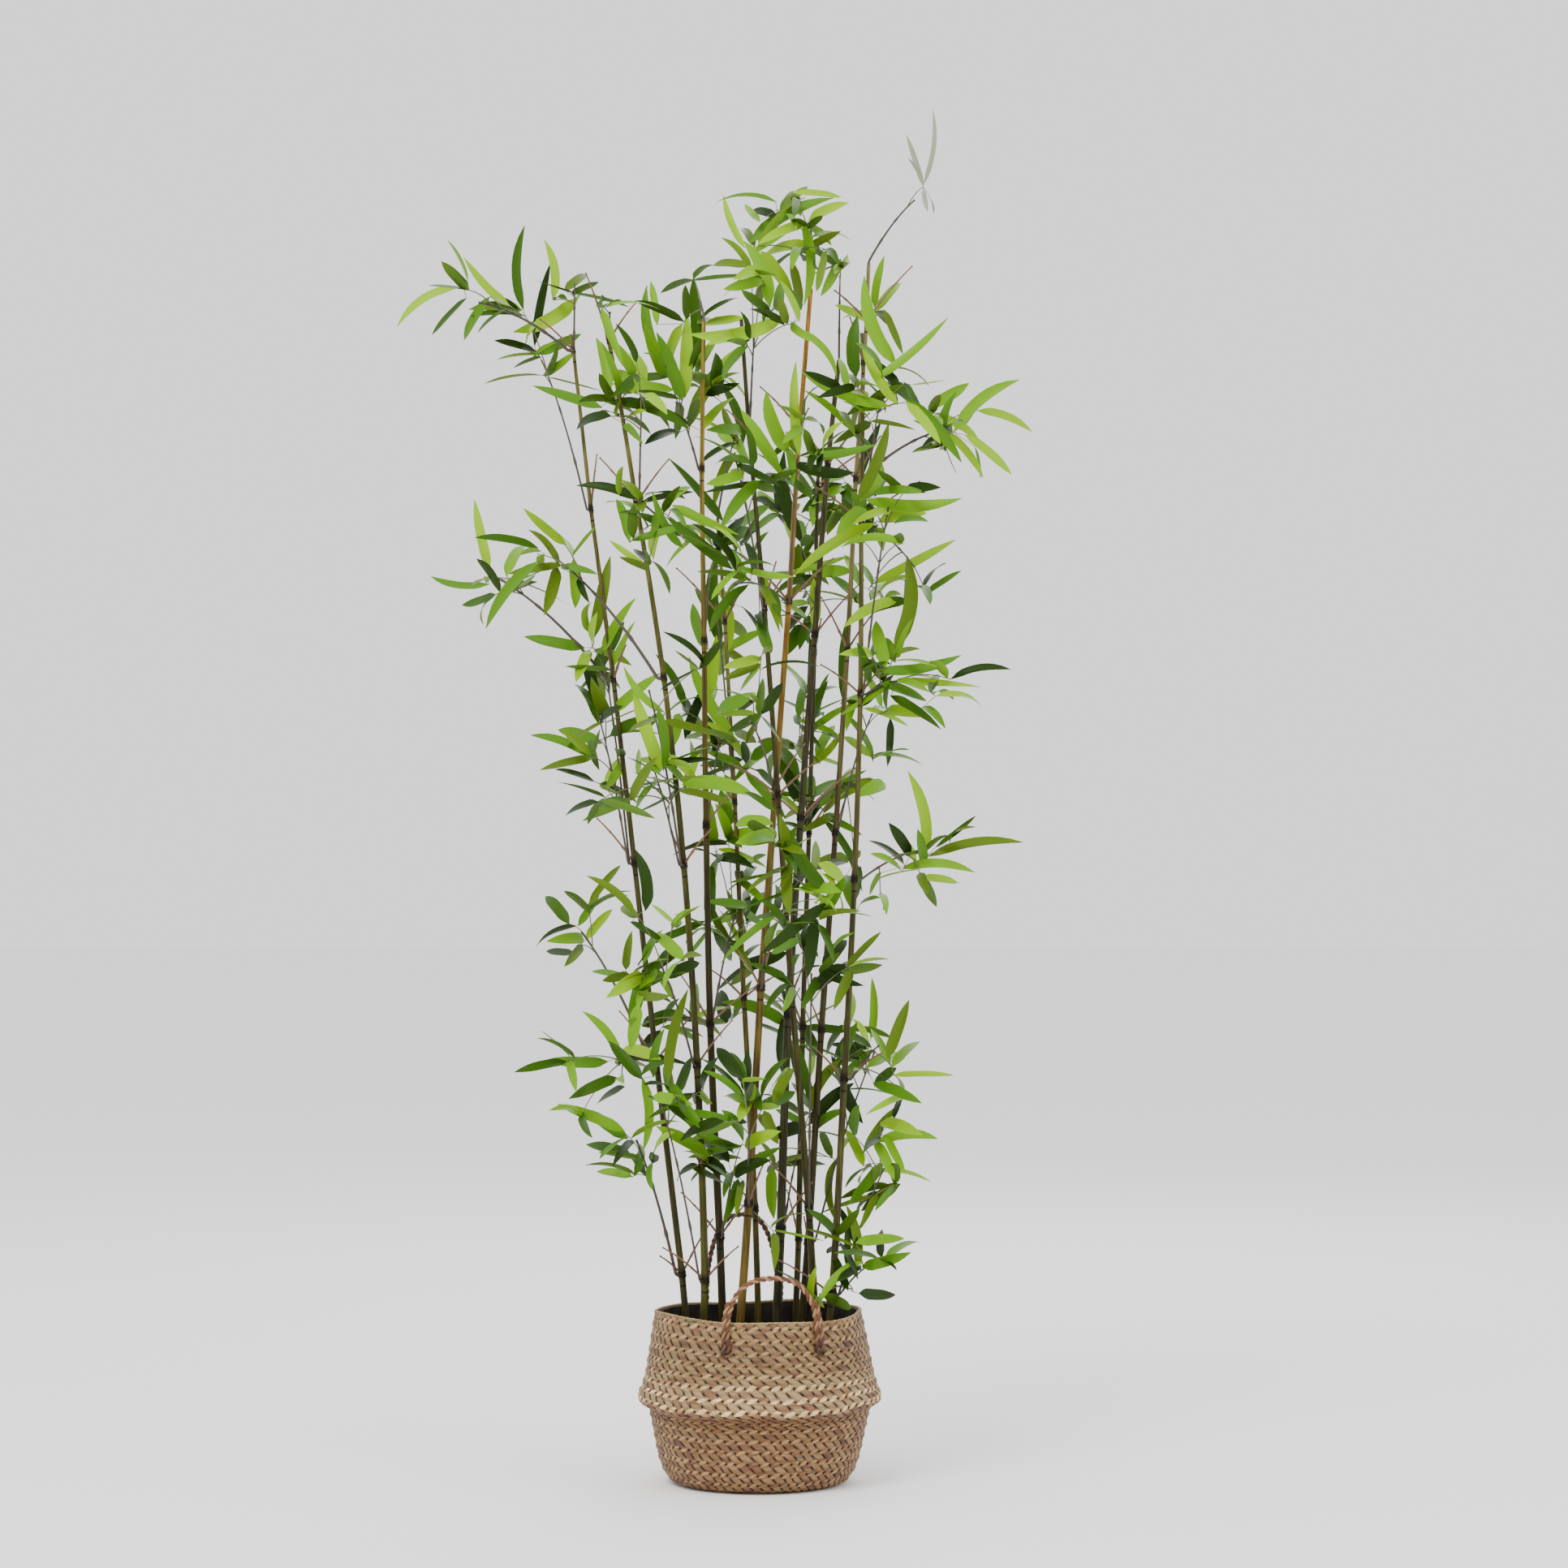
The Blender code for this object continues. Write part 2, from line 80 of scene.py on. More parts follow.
# Slant of the strands in degrees at heights from the foot up: flattest on the fold
STRAND_SLANTS = [
    (0.0, 50.0),
    (0.060, 47.0),
    (0.104, 41.0),
    (0.120, 37.0),
    (0.150, 41.0),
    (0.190, 48.0),
    (0.224, 50.0),
]
# Share of their room that the strands fill and how far they sit in, for each way of slanting
STRAND_SHARES = {-1.0: 0.74, 1.0: 0.86}
STRAND_SINK = {-1.0: 0.0003, 1.0: 0.0}
STRAND_STEPS_PER_CROSSING = 4
STRAND_COLUMNS = 4
STRAND_SQUARENESS = 0.8
STRAND_JITTER = 0.00008
STRAND_EDGE = 0.999
STRAND_WAVE = 0.0012
STRAND_CROWN = 0.0009
STRAND_THICKNESS = 0.0006
STRAND_LENGTH = 0.5
FLOOR_CLEARANCE = 0.0004
FLAT_FOOT = 0.002
FOLD_HEIGHT = 0.116
FOLD_REACH = 0.030
FOLD_SAG = 0.010
# Unevenness of the basket, as waves: size, waves round it, waves up it and start
FOLD_WAVES = [(0.0016, 5.0, 0.0, 0.6), (0.0008, 13.0, 0.0, 0.0)]
RIM_WAVES = [(0.0022, 2.0, 0.0, 0.9), (0.0012, 5.0, 0.0, 2.0)]
DRIFT_WAVES = [(0.0016, 9.0, 41.0, 0.0), (0.0012, 17.0, -83.0, 1.0)]
DENT_WAVES = [(0.0012, 3.0, 18.0, 0.0), (0.0007, 7.0, -30.0, 0.0)]
RIM_WAVES_FOOT = 0.170
RIM_WAVES_LIMIT = 1.2
RIM_ROLL = 0.0019
RIM_SINK = 0.0004
RIM_SWELL = 0.22
RIM_STEPS = 208
RIM_SIDES = 10
LINER_INSET = 0.0036
LINER_WALL = 0.0008
LINER_FLOOR = 0.0012
LINER_SINK = 0.0015
LINER_STEPS = 96
FILL_TOP = 0.170
FILL_RADIUS = 0.1375
FILL_RINGS = 26
FILL_STEPS = 110
FILL_LUMPS = 0.0014
FILL_CRUMBS = 0.0009
FILL_RISE = 0.0016
# Skirt of the fill, as inwards and down from its edge
FILL_SKIRT = [(0.0, 0.02), (0.004, 0.04)]

# Rope handles: bearing of the middle, half width, rise above the holes in the wall
HANDLE_HOLE_HEIGHT = 0.187
HANDLE_CLEARANCE = 0.0072
HOLE_DROP = 0.002
HOLE_RADIUS = 0.0062
HOLE_DEPTH = 0.0065
HANDLE_SQUARENESS = 2.6
HANDLE_STEPS = 48
HANDLES = {
    "handle_front": (-82.0, 0.061, 0.093),
    "handle_back": (100.0, 0.050, 0.152),
}
PLY_RADIUS = 0.0021
PLY_OFFSET = 0.0017
PLY_PITCH = 0.017
PLY_STEP = 0.0012
PLY_SMOOTHING = 8
PLY_SWELL = 0.06
PLY_LUMPS = 310.0
LEG_SPREAD = 0.0030
LEG_SINK = 0.007
LEG_END_HEIGHT = 0.252
END_SINK = 0.006
END_LIFT = 0.001
END_FLARE = 0.9
END_TAPER = 0.86

# Canes: foot (x, y), top (x, y, z), sideways bow, radius at the foot, first ring above the fill,
# and kind of bark
CANES = {
    "a": ((-0.092, 0.020), (-0.249, 0.040, 1.509), 0.003, 0.0046, 0.10, "olive"),
    "b": ((-0.072, -0.050), (-0.200, -0.095, 1.516), 0.036, 0.0052, 0.10, "olive"),
    "c": ((-0.046, 0.015), (-0.072, -0.010, 1.521), -0.010, 0.0054, 0.15, "dark"),
    "d": ((-0.027, -0.066), (0.068, -0.035, 1.560), -0.002, 0.0056, 0.20, "rust"),
    "e": ((0.000, 0.070), (-0.056, 0.150, 1.271), 0.004, 0.0044, 0.18, "dark"),
    "f": ((0.022, 0.000), (0.106, 0.075, 1.478), -0.012, 0.0062, 0.16, "dark"),
    "g": ((0.077, 0.002), (-0.022, -0.120, 1.513), 0.002, 0.0050, 0.19, "tan"),
    "h": ((0.047, 0.085), (0.081, 0.180, 1.361), 0.000, 0.0044, 0.14, "dark"),
    "j": ((0.053, 0.040), (0.145, 0.045, 1.602), 0.004, 0.0050, 0.14, "dark"),
    "k": ((0.088, -0.045), (0.135, -0.010, 1.506), 0.015, 0.0050, 0.08, "tan"),
}
CANE_TIP_SHARE = 0.5
CANE_FOOT_SINK = 0.003
CANE_STEP = 0.010
CANE_SIDES = 14
# Ridges pressed into the bark, as waves: share of the radius, waves round it, waves up it and start
BARK_RIDGES = [(0.020, 5.0, 23.0, 0.0), (0.014, 3.0, -41.0, 0.0)]
# Colour of each cane's bark at the foot and at the tip
BARKS = {
    "a": ((0.050, 0.047, 0.008), (0.140, 0.120, 0.028)),
    "b": ((0.064, 0.061, 0.007), (0.140, 0.132, 0.022)),
    "c": ((0.040, 0.031, 0.003), (0.285, 0.200, 0.030)),
    "d": ((0.130, 0.086, 0.010), (0.400, 0.200, 0.020)),
    "e": ((0.100, 0.080, 0.009), (0.240, 0.212, 0.060)),
    "f": ((0.042, 0.041, 0.013), (0.070, 0.056, 0.018)),
    "g": ((0.056, 0.050, 0.007), (0.052, 0.049, 0.008)),
    "h": ((0.056, 0.051, 0.008), (0.052, 0.047, 0.008)),
    "j": ((0.058, 0.046, 0.011), (0.215, 0.180, 0.060)),
    "k": ((0.074, 0.066, 0.013), (0.160, 0.142, 0.038)),
}
RING_PITCH = 0.28
RING_PITCH_SHRINK = 0.93
RING_KINK = 0.0015
TOP_CLEARANCE = 0.020
GOLDEN_ANGLE = math.radians(137.5)
# Swelling of a cane at heights from the middle of a ring
RING_PROFILE = [
    (-0.0120, 1.00),
    (-0.0050, 1.06),
    (-0.0022, 1.34),
    (-0.0008, 1.38),
    (0.0004, 1.18),
    (0.0018, 1.33),
    (0.0036, 1.30),
    (0.0080, 1.10),
    (0.0150, 0.97),
]
RING_ROOM = 0.006
# Heights between which the bark turns from its colour at the foot to the one at the tip
BARK_TURN = (0.80, 1.32)
# Tints of the scar in the middle of a ring and of the bloom under it, and how far they reach
SCAR = (0.16, 0.10, 0.08)
BLOOM = (1.0, 1.0, 0.92)
SCAR_REACH = 0.016

# Sprays, named after their cane: ring that the stem springs from (TOP is the cane's tip),
# middle of the leaves and the mix of tones that the spray is dealt, which paints light on the sprays at the
# top and shade on those low and inside the clump
TOP = -1
SPRAYS = {
    "a1": (0, (-0.160, -0.020, 0.450), "light"),
    "a2": (1, (-0.185, -0.010, 0.550), "mixed"),
    "a3": (1, (-0.235, 0.050, 0.720), "mixed"),
    "a4": (2, (-0.212, 0.020, 1.010), "dark"),
    "a5": (2, (-0.208, 0.060, 1.094), "light"),
    "a6": (3, (-0.350, 0.050, 1.190), "light"),
    "a7": (4, (-0.290, 0.100, 1.480), "mixed"),
    "a8": (5, (-0.366, -0.020, 1.545), "bright"),
    "a9": (5, (-0.244, 0.060, 1.578), "bright"),
    "b1": (0, (-0.125, -0.120, 0.505), "mixed"),
    "b2": (1, (-0.125, -0.160, 0.685), "mixed"),
    "b3": (2, (-0.140, -0.120, 0.950), "light"),
    "b4": (2, (-0.139, -0.180, 1.035), "dark"),
    "b5": (3, (-0.265, -0.050, 1.210), "mixed"),
    "b6": (4, (-0.118, -0.170, 1.240), "light"),
    "b7": (4, (-0.151, -0.100, 1.398), "light"),
    "b8": (5, (-0.190, -0.140, 1.520), "bright"),
    "c1": (0, (-0.031, -0.060, 0.416), "shaded"),
    "c2": (1, (-0.120, 0.100, 0.600), "shaded"),
    "c3": (1, (-0.030, 0.145, 0.745), "dark"),
    "c4": (2, (-0.050, 0.130, 0.987), "mixed"),
    "c5": (3, (-0.065, 0.115, 1.200), "dark"),
    "c6": (4, (-0.110, 0.050, 1.420), "light"),
    "c7": (TOP, (-0.080, 0.060, 1.560), "bright"),
    "d1": (0, (-0.012, -0.160, 0.480), "shaded"),
    "d2": (1, (0.018, -0.200, 0.755), "mixed"),
    "d3": (2, (-0.010, -0.200, 0.995), "mixed"),
    "d4": (3, (-0.030, -0.190, 1.169), "dark"),
    "d5": (3, (0.050, -0.170, 1.330), "light"),
    "d6": (TOP, (0.070, -0.030, 1.630), "bright"),
    "e1": (2, (-0.060, 0.240, 1.160), "mixed"),
    "e2": (TOP, (-0.034, 0.240, 1.387), "mixed"),
    "f1": (0, (0.052, 0.070, 0.430), "shaded"),
    "f2": (2, (0.126, 0.140, 0.920), "mixed"),
    "f3": (3, (0.075, 0.140, 1.167), "dark"),
    "f4": (TOP, (0.108, 0.120, 1.595), "mixed"),
    "g1": (0, (0.068, -0.150, 0.673), "shaded"),
    "g2": (3, (-0.030, -0.210, 1.333), "shaded"),
    "g3": (4, (-0.005, -0.180, 1.485), "bright"),
    "h1": (1, (0.026, 0.200, 0.625), "shaded"),
    "h2": (2, (0.054, 0.260, 0.980), "mixed"),
    "h3": (3, (0.076, 0.260, 1.315), "dark"),
    "j1": (0, (0.154, 0.080, 0.561), "mixed"),
    "j2": (2, (0.152, 0.180, 1.010), "light"),
    "j3": (4, (0.250, 0.120, 1.390), "bright"),
    "j4": (5, (0.172, 0.140, 1.540), "bright"),
    "j5": (TOP, (0.205, 0.020, 1.684), "faded"),
    "k1": (0, (0.143, -0.060, 0.290), "dark"),
    "k2": (0, (0.170, 0.000, 0.422), "light"),
    "k3": (1, (0.157, -0.040, 0.575), "light"),
    "k4": (2, (0.218, 0.000, 0.830), "light"),
    "k5": (3, (0.185, -0.060, 1.050), "light"),
    "k6": (4, (0.205, 0.010, 1.200), "bright"),
    "k7": (3, (0.168, -0.100, 1.273), "light"),
    "k8": (4, (0.158, -0.090, 1.415), "light"),
}
BOUGHS = ("a1", "a3", "a6", "a8", "b5", "j3")

# Fans of leaves on each spray, in mm and degrees as seen from the front: middle of the fan (x, z),
# then for each leaf its root from that middle (x, z), bearing, length seen, bend (-1, 0, 1) and width
FANS = {
    "a1": [
        (-173, 457, (2, -5, 150, 66, 0, 15), (-2, 5, 160, 95, 0, 15)),
        (-167, 429, (0, 0, 170, 66, 0, 15)),
        (-138, 425, (0, 0, 60, 51, 0, 17)),
        (-164, 405, (0, 0, 180, 51, 0, 12)),
    ],
    "a2": [
        (-186, 556, (4, -3, 130, 81, -1, 12), (-12, -5, 180, 81, 0, 16), (0, -3, 340, 51, 0, 17),
         (8, 12, 350, 51, 0, 17)),
        (-251, 553, (0, 0, 190, 66, 0, 13)),
        (-152, 532, (15, 1, 80, 66, 1, 12), (0, -1, 130, 66, 0, 18), (0, 1, 270, 96, 1, 13)),
        (-180, 526, (-5, 6, 200, 66, 0, 15), (5, -6, 210, 51, 0, 14)),
        (-233, 482, (0, 0, 160, 39, 0, 10)),
    ],
    "a3": [
        (-225, 756, (0, 0, 50, 67, 0, 11)),
        (-246, 728, (6, -1, 60, 52, 0, 11), (-6, 1, 130, 52, 0, 16)),
        (-237, 702, (6, 6, 50, 52, 0, 12), (4, 7, 180, 43, 0, 15), (-9, -12, 180, 43, 0, 11)),
    ],
    "a4": [
        (-202, 1003, (-8, -5, 30, 38, 0, 12), (9, 7, 40, 81, 0, 15), (2, 1, 110, 51, 0, 17),
         (-10, -8, 120, 66, 0, 15)),
        (-210, 974, (13, 6, 20, 66, 0, 17), (2, -5, 160, 66, 0, 15), (-14, 0, 290, 43, 0, 10)),
        (-223, 952, (0, 0, 160, 81, -1, 11)),
        (-180, 951, (0, 0, 240, 51, 0, 12), (2, -8, 240, 38, 0, 12)),
        (-216, 919, (0, 0, 160, 51, 0, 13)),
    ],
    "a5": [
        (-220, 1096, (13, -7, 60, 82, 0, 17), (1, 11, 80, 112, 0, 15), (-4, 19, 80, 39, 0, 12),
         (2, 5, 80, 39, 0, 13), (-10, -1, 170, 82, 0, 15), (-4, -3, 250, 43, 0, 16)),
        (-195, 1069, (0, 0, 60, 67, 0, 15)),
        (-225, 1068, (4, -7, 60, 82, 0, 17), (-4, 7, 290, 67, 0, 16)),
    ],
    "a6": [
        (-358, 1190, (0, 9, 100, 97, 0, 14), (0, -9, 170, 82, 1, 10)),
        (-334, 1190, (0, 0, 70, 52, 0, 16)),
        (-347, 1165, (24, 3, 50, 39, 0, 9), (0, 0, 190, 52, 0, 12), (-2, -3, 240, 39, 0, 10)),
    ],
    "a7": [
        (-312, 1540, (-1, 5, 90, 113, 1, 12), (4, -11, 160, 52, 0, 18), (-3, 5, 180, 67, 0, 15)),
        (-298, 1493, (1, -5, 30, 67, 0, 15), (-4, -15, 30, 39, 0, 9), (-13, 5, 50, 39, 0, 14),
         (-1, 5, 80, 113, 1, 14)),
        (-289, 1462, (0, 0, 30, 52, 0, 12)),
    ],
    "a8": [
        (-383, 1559, (5, 8, 110, 51, 0, 12), (-8, 3, 210, 95, -1, 11), (3, -11, 220, 66, 0, 11)),
        (-353, 1555, (0, 0, 230, 66, 0, 12)),
        (-326, 1541, (0, 0, 130, 81, 1, 12)),
    ],
    "a9": [
        (-250, 1566, (-9, 5, 50, 43, 0, 13), (9, -5, 210, 97, 1, 17), (15, 3, 210, 39, 0, 10)),
        (-274, 1558, (0, 0, 100, 82, -1, 11)),
    ],
    "b1": [
        (-111, 527, (7, -11, 70, 50, 0, 13), (-5, 4, 80, 123, 1, 15), (-3, 15, 90, 38, 0, 11),
         (-3, 7, 310, 79, -1, 18)),
        (-72, 520, (0, 0, 70, 50, 0, 15)),
        (-129, 511, (7, -3, 320, 79, 0, 17), (-7, 2, 320, 38, 0, 13), (-7, 3, 350, 50, 0, 15)),
    ],
    "b2": [
        (-154, 748, (11, 6, 100, 79, -1, 17), (-2, 2, 140, 79, -1, 12), (-9, -8, 330, 50, 0, 12)),
        (-110, 737, (0, 0, 140, 37, 0, 8)),
        (-94, 691, (0, 0, 140, 50, 0, 16)),
        (-140, 674, (18, -7, 20, 50, 0, 14), (-11, -6, 30, 64, 0, 18), (-7, 11, 60, 50, 0, 12),
         (-14, 9, 60, 37, 0, 11), (-7, -2, 210, 50, 0, 18), (10, 3, 240, 50, 0, 17), (-9, -4, 260, 64, 0, 17),
         (6, 5, 300, 50, 0, 11)),
        (-169, 671, (-1, 6, 80, 50, 0, 11), (1, -6, 170, 50, 0, 12)),
        (-156, 645, (-4, 8, 30, 50, 0, 18), (4, -8, 260, 64, 0, 16), (12, 2, 340, 37, 0, 10)),
    ],
    "b3": [
        (-120, 939, (-1, -7, 90, 80, -1, 18), (-3, -6, 110, 109, 0, 16), (-6, -10, 110, 38, 0, 16),
         (4, 13, 320, 50, 0, 14), (-2, 3, 320, 38, 0, 16)),
        (-134, 915, (-20, 11, 90, 38, 0, 8), (0, 0, 240, 50, 0, 12)),
        (-96, 912, (2, -3, 70, 50, 0, 15), (-2, 3, 350, 95, 1, 17)),
        (-116, 898, (0, 0, 200, 50, 0, 13)),
        (-167, 895, (3, -1, 60, 65, 0, 14), (-3, 1, 190, 50, 0, 12)),
        (-205, 893, (0, 0, 200, 50, 0, 11)),
    ],
    "b4": [
        (-68, 1066, (0, 0, 140, 64, 0, 10), (-6, -5, 140, 37, 0, 8)),
        (-120, 1007, (0, 0, 130, 79, 1, 10)),
    ],
    "b5": [
        (-246, 1218, (-5, 9, 140, 65, 0, 11), (5, -9, 270, 65, 0, 15)),
        (-286, 1213, (0, 9, 170, 80, -1, 12), (0, -9, 230, 110, -1, 15)),
        (-263, 1200, (0, 0, 260, 65, 0, 18), (29, -14, 290, 38, 0, 10)),
    ],
    "b6": [
        (-151, 1277, (6, 8, 0, 50, 0, 15), (-26, 7, 80, 37, 0, 9), (-1, -12, 160, 50, 0, 14),
         (-5, 4, 170, 79, -1, 13)),
        (-115, 1259, (-12, -6, 260, 50, 0, 14), (2, 9, 310, 37, 0, 10), (7, -8, 320, 50, 0, 13),
         (5, 14, 340, 93, -1, 16)),
        (-163, 1222, (0, 0, 110, 64, 0, 12), (23, 18, 150, 37, 0, 9)),
        (-90, 1222, (-6, -5, 120, 79, 1, 12), (6, 5, 220, 50, 0, 11)),
        (-141, 1190, (0, 0, 140, 64, 0, 10), (3, -1, 160, 37, 0, 9)),
    ],
    "b7": [
        (-155, 1448, (10, -9, 120, 50, 0, 18), (-6, -5, 120, 50, 0, 15), (-3, 14, 120, 50, 0, 11)),
        (-151, 1417, (-4, -1, 130, 50, 0, 17), (-6, 2, 170, 38, 0, 12), (7, -22, 200, 38, 0, 9),
         (4, 1, 320, 42, 0, 17)),
        (-193, 1412, (-1, 6, 100, 80, -1, 14), (16, 6, 110, 65, 0, 12), (-9, -10, 160, 94, 0, 16),
         (2, -1, 340, 109, 1, 16), (-7, -2, 340, 50, 0, 14)),
        (-189, 1388, (0, 0, 190, 50, 0, 16), (17, -11, 310, 38, 0, 9)),
    ],
    "b8": [
        (-200, 1523, (0, 0, 290, 79, -1, 14)),
    ],
    "c1": [
        (-21, 450, (3, -2, 30, 51, 0, 17), (2, 6, 120, 51, 0, 18), (-4, -4, 150, 80, 1, 13),
         (-11, -12, 150, 38, 0, 14)),
        (-76, 424, (13, 8, 150, 80, 0, 18), (-2, -2, 220, 42, 0, 12), (-11, -6, 330, 51, 0, 15)),
        (-34, 412, (3, -4, 30, 51, 0, 18), (-7, -4, 150, 51, 0, 17), (-4, 14, 150, 51, 0, 18),
         (8, -7, 250, 51, 0, 11), (14, -9, 260, 38, 0, 10)),
        (20, 336, (0, 0, 270, 38, 0, 11)),
    ],
    "c2": [
        (-85, 595, (0, 0, 90, 52, 0, 15)),
        (-157, 592, (0, 0, 20, 52, 0, 18)),
        (-133, 586, (0, 0, 230, 52, 0, 18)),
    ],
    "c3": [
        (-42, 846, (-3, -5, 10, 52, 0, 17), (1, 11, 100, 52, 0, 18), (2, -5, 110, 52, 0, 14)),
        (-58, 825, (-2, 8, 100, 68, 0, 17), (3, 4, 340, 68, 0, 18), (-1, -12, 350, 52, 0, 18)),
        (-21, 789, (0, 0, 50, 44, 0, 18)),
        (-15, 752, (-4, -15, 90, 39, 0, 12), (0, 0, 170, 52, 0, 13)),
        (-67, 726, (1, 2, 90, 83, 0, 16), (-6, 6, 200, 83, 0, 11), (5, -8, 300, 52, 0, 16)),
        (-18, 717, (1, 9, 60, 52, 0, 15), (-1, -9, 110, 68, 0, 12)),
        (-39, 702, (0, 0, 110, 83, 1, 17)),
        (-22, 675, (-4, -7, 20, 68, 0, 18), (0, 13, 120, 68, 0, 14), (15, -7, 210, 39, 0, 10),
         (3, -6, 220, 52, 0, 10)),
    ],
    "c4": [
        (-68, 1033, (0, 0, 80, 83, 0, 18)),
        (-99, 1012, (0, 5, 120, 83, 0, 13), (8, -3, 120, 43, 0, 12), (-8, -2, 260, 43, 0, 15)),
        (-100, 976, (0, 0, 70, 83, 0, 14)),
        (-25, 972, (7, -2, 60, 52, 0, 17), (-7, 2, 120, 128, 1, 18), (21, -1, 150, 39, 0, 13)),
        (-59, 957, (0, 0, 100, 52, 0, 15)),
        (-16, 940, (4, 9, 30, 52, 0, 18), (-8, 14, 140, 67, 0, 16), (-5, -8, 150, 52, 0, 15),
         (-3, -9, 310, 83, 0, 14), (12, -5, 310, 52, 0, 15)),
        (-47, 928, (0, 0, 280, 52, 0, 18)),
    ],
    "c5": [
        (-48, 1267, (0, 0, 130, 113, 0, 14)),
        (-15, 1239, (8, -23, 60, 39, 0, 12), (0, 0, 290, 128, 0, 13)),
        (-52, 1237, (0, -3, 30, 52, 0, 18), (0, 3, 50, 52, 0, 16), (-10, -4, 140, 39, 0, 16)),
    ],
    "c6": [
        (-87, 1462, (2, 1, 50, 52, 0, 17), (-2, -1, 70, 43, 0, 18)),
        (-124, 1460, (0, 7, 100, 112, 1, 15), (0, -7, 110, 67, 0, 16), (12, -5, 180, 52, 0, 10)),
        (-60, 1435, (-5, 2, 60, 43, 0, 10), (5, -2, 90, 43, 0, 18), (17, 17, 320, 39, 0, 8)),
        (-105, 1430, (7, -5, 90, 112, 0, 17), (4, -10, 110, 97, 0, 16), (-7, 5, 160, 82, 1, 16)),
        (-91, 1389, (14, -8, 50, 67, 0, 17), (-4, -2, 60, 127, 1, 16), (-1, 17, 60, 67, 0, 18),
         (-10, -8, 200, 52, 0, 17)),
    ],
    "c7": [
        (-88, 1588, (0, 0, 270, 127, 0, 14)),
        (-77, 1527, (5, 0, 0, 52, 0, 18), (-5, 0, 20, 43, 0, 18)),
        (-101, 1522, (-33, -2, 100, 67, 0, 10), (0, 0, 250, 52, 0, 15)),
    ],
    "d1": [
        (-20, 540, (0, 0, 130, 50, 0, 18)),
        (-18, 517, (1, 5, 90, 50, 0, 14), (-1, -5, 140, 64, 0, 12)),
        (8, 502, (-6, -4, 20, 50, 0, 18), (-4, 7, 60, 68, 0, 14), (11, 3, 60, 50, 0, 15),
         (10, 25, 60, 37, 0, 12), (-1, -6, 290, 54, 0, 15)),
        (-34, 485, (10, 0, 70, 50, 0, 15), (-10, 0, 210, 64, 0, 18)),
    ],
    "d2": [
        (22, 852, (1, 28, 150, 49, 0, 9), (-3, 13, 180, 49, 0, 15), (5, -13, 180, 41, 0, 18),
         (-1, 0, 190, 49, 0, 18)),
        (41, 815, (1, -2, 100, 64, 0, 13), (-1, 2, 270, 64, 0, 17)),
        (78, 809, (2, -6, 300, 64, 0, 12), (-2, 6, 320, 49, 0, 18)),
        (54, 785, (0, 0, 0, 49, 0, 18)),
        (88, 769, (1, 10, 120, 107, 1, 18), (0, -6, 150, 49, 0, 18), (-1, -3, 220, 107, 0, 15)),
        (23, 749, (0, 0, 220, 93, 1, 17), (0, -9, 250, 37, 0, 16)),
        (76, 743, (2, 0, 60, 64, 0, 16), (-3, 4, 260, 78, 0, 15), (1, -5, 290, 49, 0, 12)),
        (34, 729, (0, 0, 120, 49, 0, 15)),
    ],
    "d3": [
        (4, 1077, (0, 0, 200, 49, 0, 16)),
        (-6, 1024, (4, 1, 180, 41, 0, 17), (-4, -1, 200, 49, 0, 18)),
        (4, 1003, (1, 1, 60, 49, 0, 15), (-1, -1, 200, 49, 0, 14)),
    ],
    "d4": [
        (-27, 1190, (0, -5, 130, 78, -1, 14), (8, 12, 130, 50, 0, 14), (-5, -3, 140, 107, 0, 14),
         (2, -4, 230, 50, 0, 12), (-5, 1, 350, 78, -1, 14)),
        (-9, 1173, (0, 6, 100, 41, 0, 18), (-7, 2, 120, 50, 0, 14), (-3, -4, 230, 78, -1, 14),
         (24, -10, 290, 37, 0, 12), (10, -4, 300, 64, 0, 13)),
        (2, 1130, (0, 0, 290, 50, 0, 15)),
    ],
    "d5": [
        (60, 1385, (0, 0, 70, 37, 0, 12)),
        (83, 1336, (0, 0, 60, 41, 0, 12)),
        (47, 1335, (13, -2, 10, 93, -1, 16), (6, -1, 90, 122, 1, 15), (-8, 3, 110, 79, 1, 17),
         (1, 2, 110, 37, 0, 15), (-9, 10, 280, 50, 0, 12), (-2, -10, 350, 79, -1, 15)),
        (30, 1313, (-3, 4, 120, 93, 0, 15), (3, -4, 130, 64, 0, 10)),
    ],
    "d6": [
        (44, 1687, (0, 0, 0, 66, 0, 10)),
        (24, 1663, (-23, -16, 120, 38, 0, 10), (0, -9, 160, 42, 0, 12), (0, 9, 180, 80, -1, 11)),
        (59, 1641, (10, -15, 10, 51, 0, 12), (6, 7, 20, 51, 0, 15), (-1, 1, 210, 66, 0, 14),
         (-13, 1, 210, 66, 0, 14), (-2, 6, 270, 110, 1, 14)),
        (-9, 1615, (-3, 6, 30, 125, 1, 18), (-9, -1, 110, 80, 1, 10), (12, -5, 310, 66, 0, 18)),
        (89, 1613, (-21, 5, 190, 66, -1, 16), (0, 0, 250, 51, 0, 14)),
        (47, 1607, (6, 7, 210, 51, 0, 18), (8, 9, 250, 38, 0, 14), (-6, -7, 280, 66, 0, 14)),
    ],
    "e1": [
        (-34, 1160, (-10, 3, 270, 69, 0, 14), (10, -3, 290, 100, 1, 18)),
        (-60, 1145, (0, 0, 330, 53, 0, 17)),
        (-55, 1102, (0, -9, 30, 69, 0, 16), (3, 1, 90, 131, 1, 18), (-16, -3, 110, 69, 0, 18),
         (14, 11, 250, 53, 0, 18)),
    ],
    "e2": [
        (-25, 1380, (3, 2, 110, 84, -1, 15), (5, -8, 140, 53, 0, 17), (0, 17, 180, 44, 0, 16),
         (-8, -11, 250, 84, -1, 14)),
    ],
    "f1": [
        (72, 490, (0, 0, 100, 82, 1, 12)),
